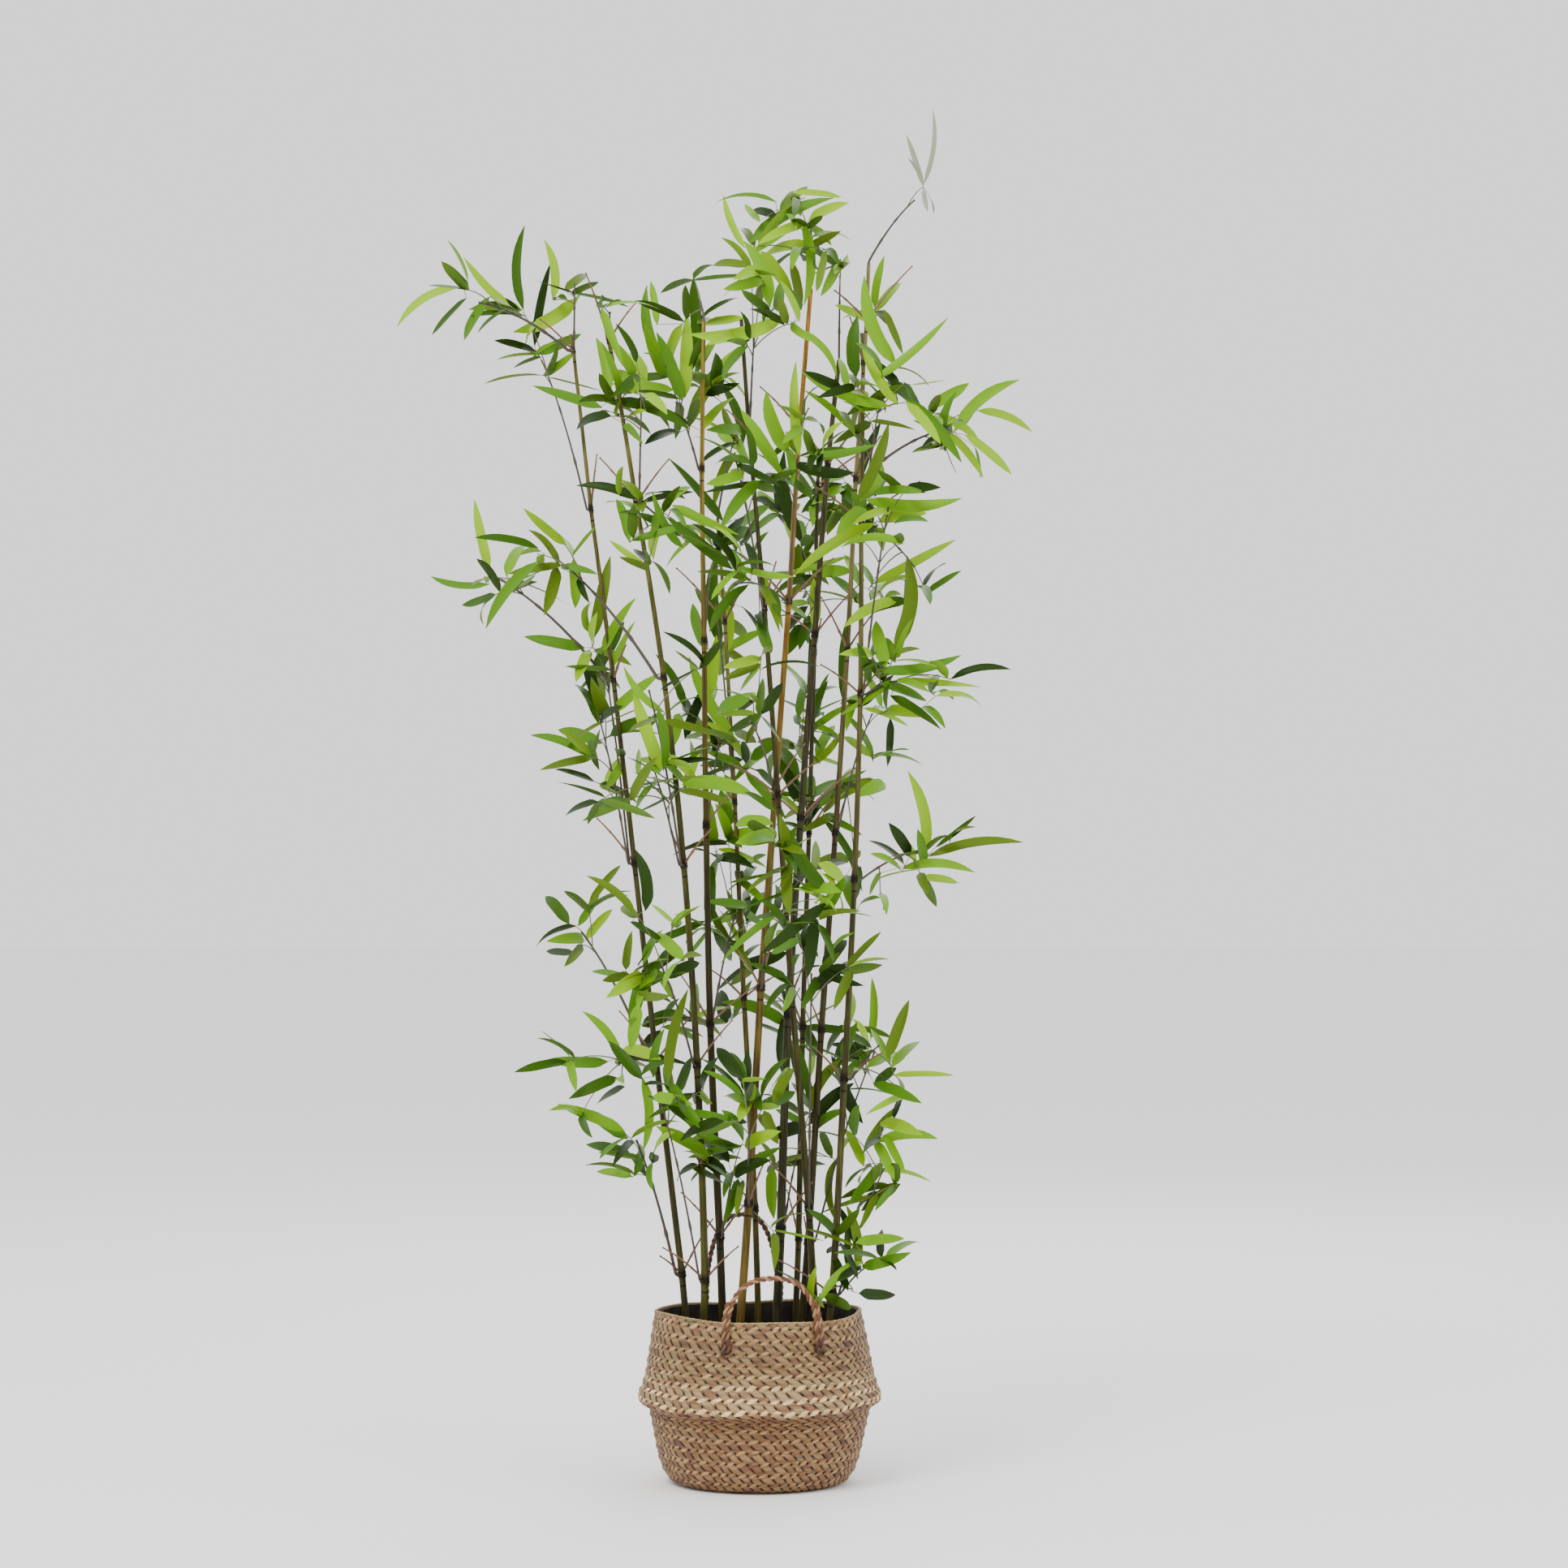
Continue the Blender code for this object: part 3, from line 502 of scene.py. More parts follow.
        (64, 464, (1, -1, 40, 82, 1, 16), (10, -8, 40, 52, 0, 14), (-8, 12, 150, 52, 0, 18),
         (-4, -3, 190, 52, 0, 18)),
        (101, 418, (0, 0, 270, 82, -1, 11)),
        (18, 405, (0, 0, 270, 71, 0, 15)),
    ],
    "f2": [
        (160, 919, (8, -3, 200, 43, 0, 18), (-8, 3, 210, 67, 0, 15)),
        (111, 911, (0, 0, 40, 39, 0, 14)),
        (64, 887, (0, 12, 30, 52, 0, 15), (15, -4, 40, 83, 1, 15), (5, 0, 90, 43, 0, 16),
         (-9, 3, 110, 52, 0, 17), (-10, -12, 130, 52, 0, 15)),
        (84, 870, (18, 6, 210, 52, 0, 14), (0, 0, 300, 113, 1, 12)),
        (58, 849, (0, 0, 50, 83, 1, 13)),
        (128, 810, (-8, 5, 190, 52, 0, 18), (8, -5, 260, 52, 0, 13), (-12, -17, 280, 39, 0, 16)),
    ],
    "f3": [
        (55, 1236, (3, 0, 100, 128, 1, 17), (-3, 0, 270, 52, 0, 18)),
        (41, 1196, (0, 0, 20, 83, -1, 18), (3, 0, 180, 39, 0, 8)),
        (74, 1193, (-4, 5, 0, 52, 0, 18), (7, -2, 200, 68, 0, 11), (-2, -3, 270, 68, 0, 16)),
        (135, 1157, (0, 0, 140, 52, 0, 15)),
        (65, 1155, (0, 0, 230, 52, 0, 15)),
        (61, 1130, (0, 0, 240, 52, 0, 18), (6, 3, 250, 39, 0, 15)),
    ],
    "f4": [
        (109, 1612, (0, -3, 190, 43, 0, 14), (0, 3, 240, 52, 0, 16)),
    ],
    "h1": [
        (43, 600, (-7, 6, 140, 53, 0, 16), (-1, -12, 160, 99, -1, 17), (-2, 11, 260, 84, -1, 13),
         (10, -5, 300, 53, 0, 17)),
        (-45, 592, (0, 0, 100, 44, 0, 18)),
        (43, 566, (28, -5, 270, 53, 0, 10), (0, 0, 280, 57, 0, 16)),
    ],
    "h2": [
        (63, 1044, (4, -11, 90, 84, 0, 13), (-4, 11, 140, 44, 0, 12)),
        (81, 1010, (0, 0, 80, 58, 0, 16)),
        (53, 1006, (0, 0, 80, 53, 0, 13)),
        (69, 988, (0, 0, 70, 69, 0, 14)),
        (50, 966, (0, 0, 170, 53, 0, 17)),
        (16, 958, (-11, -6, 220, 53, 0, 11), (8, 0, 300, 69, 0, 18), (3, 6, 310, 53, 0, 17)),
        (76, 953, (-10, -12, 50, 69, -1, 12), (0, 0, 60, 53, 0, 13)),
    ],
    "h3": [
        (117, 1327, (12, -10, 70, 100, 0, 14), (-2, 6, 190, 53, 0, 18), (-1, -5, 210, 53, 0, 18),
         (3, -1, 270, 69, 0, 18)),
        (92, 1325, (0, 0, 230, 53, 0, 11)),
        (70, 1305, (0, 0, 120, 53, 0, 17)),
        (105, 1294, (10, -8, 170, 53, 0, 18), (-16, -1, 230, 44, 0, 14), (-3, 9, 240, 100, 0, 12),
         (9, -1, 240, 44, 0, 13)),
        (24, 1288, (4, 0, 100, 44, 0, 17), (8, -2, 140, 53, 0, 14), (-11, 6, 210, 53, 0, 18),
         (2, -2, 220, 53, 0, 12), (27, -11, 280, 40, 0, 16), (9, -14, 280, 40, 0, 15),
         (-3, -3, 290, 53, 0, 17)),
    ],
    "j1": [
        (113, 591, (-2, -3, 70, 52, 0, 12), (2, 3, 240, 52, 0, 16)),
        (147, 567, (2, 8, 90, 82, -1, 12), (-3, -11, 110, 52, 0, 16), (-6, -9, 210, 52, 0, 16),
         (-3, 10, 220, 67, 0, 15), (4, -6, 230, 67, 0, 16)),
        (108, 553, (1, 2, 70, 52, 0, 14), (-1, -2, 240, 82, -1, 14)),
        (109, 517, (0, 0, 300, 52, 0, 16)),
    ],
    "j2": [
        (130, 1025, (-13, -6, 90, 129, 1, 12), (3, 13, 250, 53, 0, 12), (10, -7, 340, 68, 0, 12)),
        (171, 1013, (-17, 5, 0, 39, 0, 15), (-5, 8, 120, 53, 0, 14), (6, -8, 270, 68, 0, 11),
         (-1, 0, 350, 53, 0, 16)),
        (154, 946, (0, 0, 120, 83, -1, 14)),
    ],
    "j3": [
        (228, 1415, (-2, 6, 30, 67, 0, 16), (2, -6, 330, 82, 1, 14)),
        (291, 1414, (0, 0, 340, 82, 1, 11)),
        (260, 1384, (-1, 0, 40, 113, 1, 14), (28, -19, 290, 39, 0, 9), (-13, 3, 310, 82, 1, 11),
         (14, -3, 320, 82, 0, 14)),
        (249, 1360, (0, 0, 80, 82, 1, 17), (-3, 3, 140, 52, 0, 9), (0, 6, 310, 39, 0, 10)),
    ],
    "j4": [
        (155, 1545, (-1, 6, 80, 68, 0, 11), (-10, -9, 160, 44, 0, 14), (11, 4, 290, 68, 0, 10)),
    ],
    "g1": [
        (54, 713, (0, 0, 200, 42, 0, 18)),
        (116, 681, (-4, 4, 220, 64, 0, 17), (4, -4, 240, 50, 0, 14)),
        (83, 677, (0, 0, 50, 50, 0, 16), (13, 22, 50, 37, 0, 9)),
        (35, 666, (0, 0, 160, 42, 0, 13)),
    ],
    "g2": [
        (-17, 1317, (10, 1, 100, 49, 0, 12), (8, 5, 170, 49, 0, 13), (0, -7, 200, 49, 0, 14),
         (-10, 5, 330, 64, 0, 15)),
        (2, 1302, (0, 0, 230, 78, -1, 15)),
    ],
    "g3": [
        (-9, 1576, (-2, 1, 170, 50, 0, 12), (2, -1, 210, 50, 0, 10), (11, -4, 210, 37, 0, 14)),
        (7, 1558, (0, 0, 200, 50, 0, 14)),
        (20, 1523, (5, -3, 90, 50, 0, 15), (-5, 3, 110, 93, -1, 17)),
        (45, 1502, (8, 2, 120, 50, 0, 12), (10, 16, 120, 50, 0, 14), (-12, 6, 190, 122, 1, 18),
         (4, -8, 310, 79, 1, 10)),
        (-18, 1479, (-5, 6, 200, 41, 0, 18), (5, -6, 230, 50, 0, 18)),
    ],
    "k1": [
        (98, 329, (0, 0, 130, 51, 0, 12)),
        (126, 320, (0, 0, 0, 65, 0, 15)),
        (164, 301, (0, 0, 20, 51, 0, 12)),
        (132, 291, (2, -2, 20, 65, 0, 15), (-17, -3, 90, 51, 0, 10), (-5, -3, 100, 80, -1, 16),
         (3, 6, 220, 80, -1, 14)),
        (123, 258, (-7, 2, 110, 51, 0, 12), (7, -2, 350, 51, 0, 14)),
        (70, 241, (0, 0, 90, 51, 0, 12)),
    ],
    "k2": [
        (158, 457, (-4, -9, 0, 81, 1, 14), (18, 19, 60, 38, 0, 9), (-6, -7, 300, 51, 0, 14),
         (8, 0, 300, 51, 0, 11), (1, 16, 350, 51, 0, 17)),
        (123, 456, (0, 0, 80, 43, 0, 18)),
        (147, 416, (-10, 13, 50, 81, 1, 10), (-9, -4, 120, 51, 0, 12), (16, 2, 230, 66, 0, 14),
         (3, -11, 350, 81, 1, 11)),
        (185, 393, (0, 0, 220, 66, 0, 16)),
        (158, 382, (0, 0, 230, 51, 0, 12)),
    ],
    "k3": [
        (173, 548, (1, -11, 0, 80, 0, 12), (0, 0, 40, 51, 0, 15), (-6, 12, 70, 80, 0, 14),
         (6, -1, 220, 42, 0, 13)),
        (145, 536, (-4, 10, 20, 51, 0, 16), (4, -10, 340, 65, 0, 16)),
        (192, 509, (0, 0, 200, 55, 0, 10)),
    ],
    "k4": [
        (223, 822, (0, -2, 10, 126, 1, 12), (9, 10, 40, 66, 0, 10), (28, 15, 40, 38, 0, 8),
         (-3, 2, 100, 111, -1, 14), (-6, -10, 100, 43, 0, 12)),
        (192, 808, (-4, -4, 0, 96, 1, 12), (7, 13, 120, 51, 0, 15), (14, 6, 120, 38, 0, 14),
         (-3, -9, 150, 51, 0, 14), (-31, -8, 240, 38, 0, 9)),
        (214, 792, (0, 0, 350, 51, 0, 12)),
        (159, 767, (0, 0, 220, 38, 0, 9)),
    ],
    "k5": [
        (147, 1084, (0, 0, 180, 42, 0, 14)),
        (177, 1082, (4, -2, 70, 51, 0, 16), (-1, 8, 80, 124, -1, 18), (1, -8, 120, 42, 0, 18)),
        (156, 1056, (-1, 8, 10, 110, -1, 15), (9, 11, 100, 65, 0, 17), (-10, -9, 110, 51, 0, 16),
         (3, -10, 340, 65, 0, 17)),
        (250, 1052, (0, 0, 10, 80, 1, 11)),
        (175, 1040, (4, 9, 0, 110, 0, 15), (23, 18, 0, 38, 0, 12), (-4, -9, 330, 80, 0, 15),
         (5, 12, 340, 38, 0, 12)),
        (229, 1029, (-18, -14, 320, 38, 0, 12), (0, 0, 350, 65, 0, 11)),
    ],
    "k6": [
        (145, 1173, (4, 6, 30, 126, 0, 12), (10, -11, 30, 51, 0, 17), (2, -15, 50, 39, 0, 13),
         (-14, 5, 110, 51, 0, 14)),
        (220, 1167, (0, 0, 30, 51, 0, 11)),
        (190, 1156, (7, 0, 200, 81, -1, 14), (-7, 0, 210, 81, -1, 15)),
    ],
    "k7": [
        (190, 1295, (0, 0, 0, 42, 0, 15)),
        (141, 1283, (-2, 0, 0, 124, -1, 18), (7, 8, 0, 65, 0, 12), (10, 4, 60, 42, 0, 12),
         (-10, -1, 60, 65, -1, 16), (-13, -1, 70, 109, -1, 15), (-2, -12, 220, 50, 0, 18)),
        (151, 1254, (25, 0, 0, 38, 0, 16), (4, 0, 10, 65, 0, 18), (-5, 1, 120, 50, 0, 15),
         (19, 13, 200, 50, 0, 12), (1, -1, 210, 124, 0, 17)),
        (131, 1232, (0, 0, 0, 50, 0, 17)),
        (186, 1224, (0, 0, 180, 80, -1, 15)),
    ],
    "k8": [
        (179, 1457, (0, 0, 110, 124, 1, 18)),
        (160, 1437, (-9, 1, 40, 124, -1, 15), (0, 3, 130, 50, 0, 18), (10, -3, 330, 50, 0, 18)),
        (120, 1432, (6, 8, 90, 80, 1, 17), (-6, -7, 100, 50, 0, 12), (-12, -6, 160, 50, 0, 13),
         (22, -18, 160, 38, 0, 16), (11, 5, 320, 50, 0, 18)),
        (191, 1431, (4, -2, 10, 42, 0, 10), (-4, 2, 300, 65, 0, 16)),
        (183, 1407, (-3, -2, 120, 94, 1, 17), (-12, -4, 160, 124, 1, 16), (7, 5, 310, 109, 1, 15),
         (8, 1, 310, 69, 0, 14)),
        (144, 1384, (0, 0, 150, 42, 0, 12), (13, 16, 170, 38, 0, 16)),
        (120, 1374, (0, 0, 140, 80, 0, 10), (-14, 25, 300, 38, 0, 10)),
    ],
    "j5": [
        (217, 1704, (1, -3, 313, 27, 0, 7), (0, 2, 86, 102, -1, 7), (0, 0, 110, 73, 0, 7),
         (0, -3, 125, 39, 0, 7), (0, -4, 275, 34, 0, 7)),
    ],
}

# Growth of a spray: stem, twigs and leaves
SEED = 17
STEM_RADII = (0.0016, 0.0010)
BOUGH_RADII = (0.0023, 0.0012)
STEM_STUB = 0.005
STEM_SINK = 0.001
STEM_ARCH = 0.07
STEM_STEPS = 10
STEM_SIDES = 8
STEM_JOINTS = 0.45
TWIG_RADII = (0.0010, 0.0006)
TWIG_ARCH = 0.10
TWIG_STEPS = 5
TWIG_STRIDE = 0.004
TWIG_SIDES = 6
TWIG_LEAVES_STEM = (0.35, 0.92)
TWIG_LEAD = 0.15
JOINTS_PER_TWIG = 3.0
JOINT_SHARPNESS = 6.0
BARE_TWIG_LENGTH = (0.045, 0.110)
BARE_TWIG_RADII = (0.0017, 0.0009)
BARE_TWIG_SHARE = 0.7
BARE_TWIG_RISE = (math.radians(30), math.radians(55))
BARE_TWIG_TURN = 0.5
BARE_TWIG_ARCH = 0.04
BARE_TWIG_JOINTS = 0.4
LEAF_LENGTH = (0.070, 0.096)
LEAF_WIDTH = 0.0108
LEAF_PITCH = 0.004
STALK_RADII = (0.0006, 0.0005)
STALK_SIDES = 4
STALK_REACH = 0.002
DEPTH_LEAVES = (1, 3)
DEPTH_LEAF_TURN = 0.55
INNER_REACH = 0.12
INNER_LEAVES = 1
DEPTH_LEAF_RISE = (math.radians(-25), math.radians(35))
DEPTH_LEAF_WIDENING = (1.0, 1.25)
DEPTH_LEAF_ARCH = (-0.2, 0.8)
DEPTH_LEAF_DROOP = (0.3, 1.5)
# Darker tones for the leaves that point to the front and the back: painted shade inside the clump
DEPTH_LEAF_TONES = ("fresh", "mid", "olive", "deep", "deep", "shade")
LEAF_TURN = 3.0
LEAF_DEPTH_SPREAD = 0.035
LEAF_FACING = Vector((0.0, -1.0, 0.5))
LEAF_BEND = 0.10
LEAF_ARCH = (-0.3, 1.0)
LEAF_SWEEP = 0.08
LEAF_SWEEP_SPREAD = 0.03
LEAF_WIDENING = (0.92, 1.08)
LEAF_TWIST = math.radians(28)
LEAF_ROLL = math.radians(18)
LEAF_DROOP = 0.06
TWIST_CURVE = 1.5
BLADE_STEPS = 10
BLADE_COLUMNS = 4
BLADE_SPACING = 1.3
BLADE_FOLD = 0.26
BLADE_FOLD_CURVE = 1.3
BLADE_THICKNESS = 0.02
# Outline of a leaf: where its base and its tip start, how far they reach and the power that rounds them
LEAF_BASE = (0.03, 0.15, 0.55)
LEAF_TIP = (0.42, 0.58, 2.8)
LEAF_STALK = 0.035

# Leaf tones: upper side and underside. They differ at random and also paint light and shade: lime is painted
# light on the leaves that the light falls on, deep and shade are painted shade on leaves inside the clump;
# faded is the dried leaves' own colour.
TONES = {
    "lime": ((0.235, 0.420, 0.006), (0.250, 0.400, 0.018)),
    "fresh": ((0.140, 0.310, 0.005), (0.165, 0.300, 0.015)),
    "mid": ((0.074, 0.190, 0.006), (0.085, 0.170, 0.018)),
    "olive": ((0.084, 0.145, 0.005), (0.105, 0.165, 0.011)),
    "deep": ((0.033, 0.088, 0.002), (0.054, 0.110, 0.007)),
    "shade": ((0.014, 0.036, 0.001), (0.026, 0.056, 0.004)),
    "faded": ((0.250, 0.290, 0.190), (0.270, 0.300, 0.210)),
}

# Share of each tone in a spray, in the order of TONES. The mixes paint light and shade: bright for sprays in
# the light at the top, dark and shaded for sprays in the shade low and inside the clump.
MIXES = {
    "bright": (0.42, 0.25, 0.13, 0.08, 0.08, 0.04, 0.0),
    "light": (0.22, 0.28, 0.20, 0.10, 0.13, 0.07, 0.0),
    "mixed": (0.12, 0.20, 0.22, 0.14, 0.20, 0.12, 0.0),
    "dark": (0.08, 0.17, 0.20, 0.13, 0.24, 0.18, 0.0),
    "shaded": (0.05, 0.10, 0.15, 0.15, 0.25, 0.30, 0.0),
    "faded": (0.0, 0.0, 0.0, 0.0, 0.0, 0.0, 1.0),
}
FADED_MIX = "faded"

# Bark of the stems and twigs
TWIG_BARKS = {
    "boughs": (0.050, 0.036, 0.022),
    "twigs": (0.110, 0.110, 0.045),
    "bare_twigs": (0.150, 0.072, 0.030),
}

# Painted light and shade, as tints of the light and of the dark strands by their length from the rim:
# upper wall, painted highlight on the fold, painted shade under it, lower wall darker and more orange, in
# painted shade
PAINTED_LIGHT_BANDS = [
    (0.000, (0.53, 0.48, 0.42), (0.76, 0.68, 0.60)),
    (0.049, (0.42, 0.37, 0.31), (0.60, 0.53, 0.44)),
    (0.093, (0.48, 0.44, 0.36), (0.68, 0.62, 0.51)),
    (0.131, (1.00, 1.00, 1.00), (0.92, 0.92, 0.92)),
    (0.159, (1.00, 1.00, 1.00), (0.92, 0.92, 0.92)),
    (0.171, (0.35, 0.22, 0.14), (0.49, 0.32, 0.21)),
    (0.208, (0.42, 0.33, 0.25), (0.60, 0.48, 0.36)),
    (0.294, (0.47, 0.39, 0.32), (0.68, 0.56, 0.45)),
    (0.358, (0.37, 0.28, 0.20), (0.53, 0.41, 0.29)),
]
LIT_STRAND_BANDS = [(place, light) for place, light, _ in PAINTED_LIGHT_BANDS]
SHADED_STRAND_BANDS = [(place, dark) for place, _, dark in PAINTED_LIGHT_BANDS]
# Painted shade in the gaps between the strands: the colour that each strand darkens to at its edges
LIT_STRAND_GAP_SHADE = (0.22, 0.17, 0.13)
SHADED_STRAND_GAP_SHADE = (0.18, 0.14, 0.11)
RIM_GAP_SHADE = (0.7, 0.6, 0.5)

# Mottling of the grass, as places on a ramp and their colours
STRAW = [
    (0.28, (0.200, 0.085, 0.028)),
    (0.38, (0.420, 0.200, 0.085)),
    (0.47, (0.560, 0.360, 0.140)),
    (0.55, (0.980, 0.700, 0.360)),
    (0.62, (0.620, 0.420, 0.170)),
    (0.72, (0.260, 0.250, 0.110)),
]
# A darker copy of the same grass for the strands of the other slant: painted shade
STRAW_SHADED = [
    (0.28, (0.110, 0.045, 0.016)),
    (0.38, (0.220, 0.100, 0.040)),
    (0.47, (0.300, 0.180, 0.070)),
    (0.56, (0.450, 0.300, 0.140)),
    (0.72, (0.140, 0.130, 0.060)),
]
STRAW_PALE = [(place, tuple(min(1.5 * part, 1.0) for part in colour)) for place, colour in STRAW]
ROPES = {
    "brown": [(0.30, (0.024, 0.008, 0.004)), (0.50, (0.120, 0.042, 0.014)), (0.70, (0.300, 0.120, 0.042))],
    "cream": [(0.30, (0.130, 0.050, 0.020)), (0.50, (0.300, 0.150, 0.065)), (0.70, (0.640, 0.380, 0.190))],
    # A darker copy of the rope for the back handle: painted shade
    "dark": [(0.30, (0.014, 0.008, 0.005)), (0.50, (0.040, 0.022, 0.012)), (0.72, (0.110, 0.062, 0.032))],
}
# Painted shade on the rope, darkening its legs down towards the holes in the wall
ROPE_HOLE_SHADE = [(0.0, (0.22, 0.16, 0.14)), (0.35, (0.50, 0.40, 0.36)), (1.0, WHITE)]
STREAK_TINTS = [(0.38, (0.42, 0.38, 0.32)), (0.60, WHITE)]
PATCH_TINTS = [(0.35, (0.62, 0.60, 0.56)), (0.60, WHITE)]
RING_TINTS = [(0.0, WHITE), (0.30, BLOOM), (0.46, SCAR), (0.62, SCAR), (0.80, WHITE)]
FIBRE_TINTS = [(0.30, (0.55, 0.50, 0.44)), (0.62, WHITE)]
FILM_TINTS = [(0.35, (0.008, 0.007, 0.006)), (0.70, (0.045, 0.034, 0.024))]
CRUMB_TINTS = [(0.0, (0.012, 0.009, 0.006)), (0.5, (0.040, 0.027, 0.016)), (1.0, (0.085, 0.062, 0.038))]

# Grain of each surface along its axes, in waves per metre or per strand, and height of its relief
STRAND_MOTTLES = (3.7, 58.0, 1.0)
STRAND_FIBRES = (11.0, 55.0, 1.0)
STRAND_RELIEF = 0.0005
ROPE_FIBRES = (9.0, 90.0, 1.0)
ROPE_RELIEF = 0.0004
BARK_STREAKS = (420.0, 420.0, 9.0)
BARK_PATCHES = (22.0, 22.0, 22.0)
BARK_RELIEF = 0.0002
FILM_CREASES = (60.0, 60.0, 34.0)
FILM_RELIEF = 0.0015
CRUMBS = 170.0
CRUMB_RELIEF = 0.003

# Stage: lights with their place, aim, size and power
LIGHTS = {
    "key": ((-1.6, -3.2, 4.4), (0.0, 0.0, 0.8), 2.0, 190.0),
    "fill": ((3.2, -2.6, 2.4), (0.0, 0.0, 0.8), 2.6, 40.0),
    "back": ((0.8, 3.4, 3.2), (0.0, 0.0, 0.9), 2.4, 60.0),
}
FLOOR_SIZE = 40.0
FLOOR_GREY = (0.96, 0.96, 0.96)
SKY_STRENGTH = 1.4
CAMERA_LENS = 107.3
CAMERA_PLACE = (0.033, -6.13, 0.9155)

# Materials


def add_node(tree, kind, values=(), **settings):
    """A shader node with its settings, and its inputs set by name or number."""
    node = tree.nodes.new(kind)
    for name, value in settings.items():
        setattr(node, name, value)
    for name, value in values:
        node.inputs[name].default_value = value
    return node


def new_material(name, colour, roughness, gloss=0.5):
    """A material of one colour, with the node tree that may add to it."""
    material = bpy.data.materials.new(name)
    material.use_nodes = True
    material.diffuse_color = (*colour, 1.0)
    shader = material.node_tree.nodes["Principled BSDF"]
    shader.inputs["Base Color"].default_value = (*colour, 1.0)
    shader.inputs["Roughness"].default_value = roughness
    shader.inputs["Specular IOR Level"].default_value = gloss
    return material, material.node_tree


def fed_node(tree, kind, source, values=(), **settings):
    """A shader node whose first input is another node's output."""
    node = add_node(tree, kind, values, **settings)
    tree.links.new(source, node.inputs[0])
    return node


def strand_place(tree):
    return add_node(tree, "ShaderNodeUVMap").outputs["UV"]


def own_place(tree):
    return add_node(tree, "ShaderNodeTexCoord").outputs["Object"]


def grain(tree, place, stretch, detail):
    """Cloudy grain, drawn out along the axes where its waves are few."""
    scaled = fed_node(tree, "ShaderNodeMapping", place, [("Scale", stretch)])
    noise = fed_node(tree, "ShaderNodeTexNoise", scaled.outputs[0], [("Scale", 1.0), ("Detail", detail)])
    return noise.outputs["Fac"]


def climbed(tree, place, low, high):
    """How far a place has climbed from one height to another, from 0 to 1."""
    height = fed_node(tree, "ShaderNodeSeparateXYZ", place).outputs["Z"]
    share = fed_node(tree, "ShaderNodeMapRange", height, [("From Min", low), ("From Max", high)])
    return share.outputs["Result"]


def colour_ramp(tree, value, stops):
    """The colours that a value runs through."""
    ramp = fed_node(tree, "ShaderNodeValToRGB", value)
    elements = ramp.color_ramp.elements
    for place, _ in stops[2:]:
        elements.new(place)
    for element, (place, colour) in zip(elements, stops):
        element.position = place
        element.color = (*colour, 1.0)
    return ramp.outputs[0]


def tinted(tree, colour, *tints):
    """A colour darkened by one tint after another, each with its amount."""
    for tint, amount in tints:
        mix = add_node(tree, "ShaderNodeMix", data_type="RGBA", blend_type="MULTIPLY")
        mix.inputs["Factor"].default_value = amount
        tree.links.new(colour, mix.inputs["A"])
        tree.links.new(tint, mix.inputs["B"])
        colour = mix.outputs["Result"]
    return colour


def cover(material, colour, height, relief):
    """Gives a material its colour and its relief."""
    tree = material.node_tree
    shader = tree.nodes["Principled BSDF"]
    bump = add_node(tree, "ShaderNodeBump", [("Strength", 1.0), ("Distance", relief)])
    tree.links.new(height, bump.inputs["Height"])
    tree.links.new(bump.outputs["Normal"], shader.inputs["Normal"])
    tree.links.new(colour, shader.inputs["Base Color"])
    return material


def seagrass(name, stops, edge, bands):
    """Flattened grass strands: long fibres, each strand with its own tint and mottling.

    The bands tint the strands by how far they have come down from the rim: a painted highlight on the fold,
    painted shade under it and on the lower wall. Each strand also darkens towards its edges, which is painted
    shade in the gaps between the strands.
    """
    material, tree = new_material(name, stops[2][1], 0.62)
    place = strand_place(tree)
    parts = fed_node(tree, "ShaderNodeSeparateXYZ", place)
    strand = fed_node(tree, "ShaderNodeMath", parts.outputs["X"], operation="FLOOR")
    across = fed_node(tree, "ShaderNodeMath", parts.outputs["X"], operation="FRACT")
    run = fed_node(tree, "ShaderNodeMath", parts.outputs["Y"], [(1, STRAND_LENGTH)], operation="DIVIDE")
    middle = fed_node(tree, "ShaderNodeCombineXYZ", strand.outputs[0])
    tree.links.new(parts.outputs["Y"], middle.inputs["Y"])
    fibre = grain(tree, place, STRAND_FIBRES, 2.0)
    colour = tinted(
        tree,
        colour_ramp(tree, grain(tree, middle.outputs[0], STRAND_MOTTLES, 3.0), stops),
        (colour_ramp(tree, fibre, FIBRE_TINTS), 0.75),
        # painted shade in the gaps: each strand darkens towards its edges
        (colour_ramp(tree, across.outputs[0], [(0.0, edge), (0.24, WHITE), (0.80, WHITE), (1.0, edge)]), 1.0),
        # painted light and shade by the length from the rim: highlight on the fold, shade under it and on the
        # lower wall
        (colour_ramp(tree, run.outputs[0], [(length / STRAND_LENGTH, tint) for length, tint in bands]), 1.0),
    )
    return cover(material, colour, fibre, STRAND_RELIEF)


def grass_rope(name, stops):
    """Twisted grass cord: fibres that follow each ply, with painted shade that darkens it down towards the
    holes.
    """
    material, tree = new_material(name, stops[1][1], 0.7)
    fibre = grain(tree, strand_place(tree), ROPE_FIBRES, 3.0)
    climb = climbed(tree, own_place(tree), HANDLE_HOLE_HEIGHT, RIM_HEIGHT)
    colour = tinted(tree, colour_ramp(tree, fibre, stops), (colour_ramp(tree, climb, ROPE_HOLE_SHADE), 1.0))
    return cover(material, colour, fibre, ROPE_RELIEF)


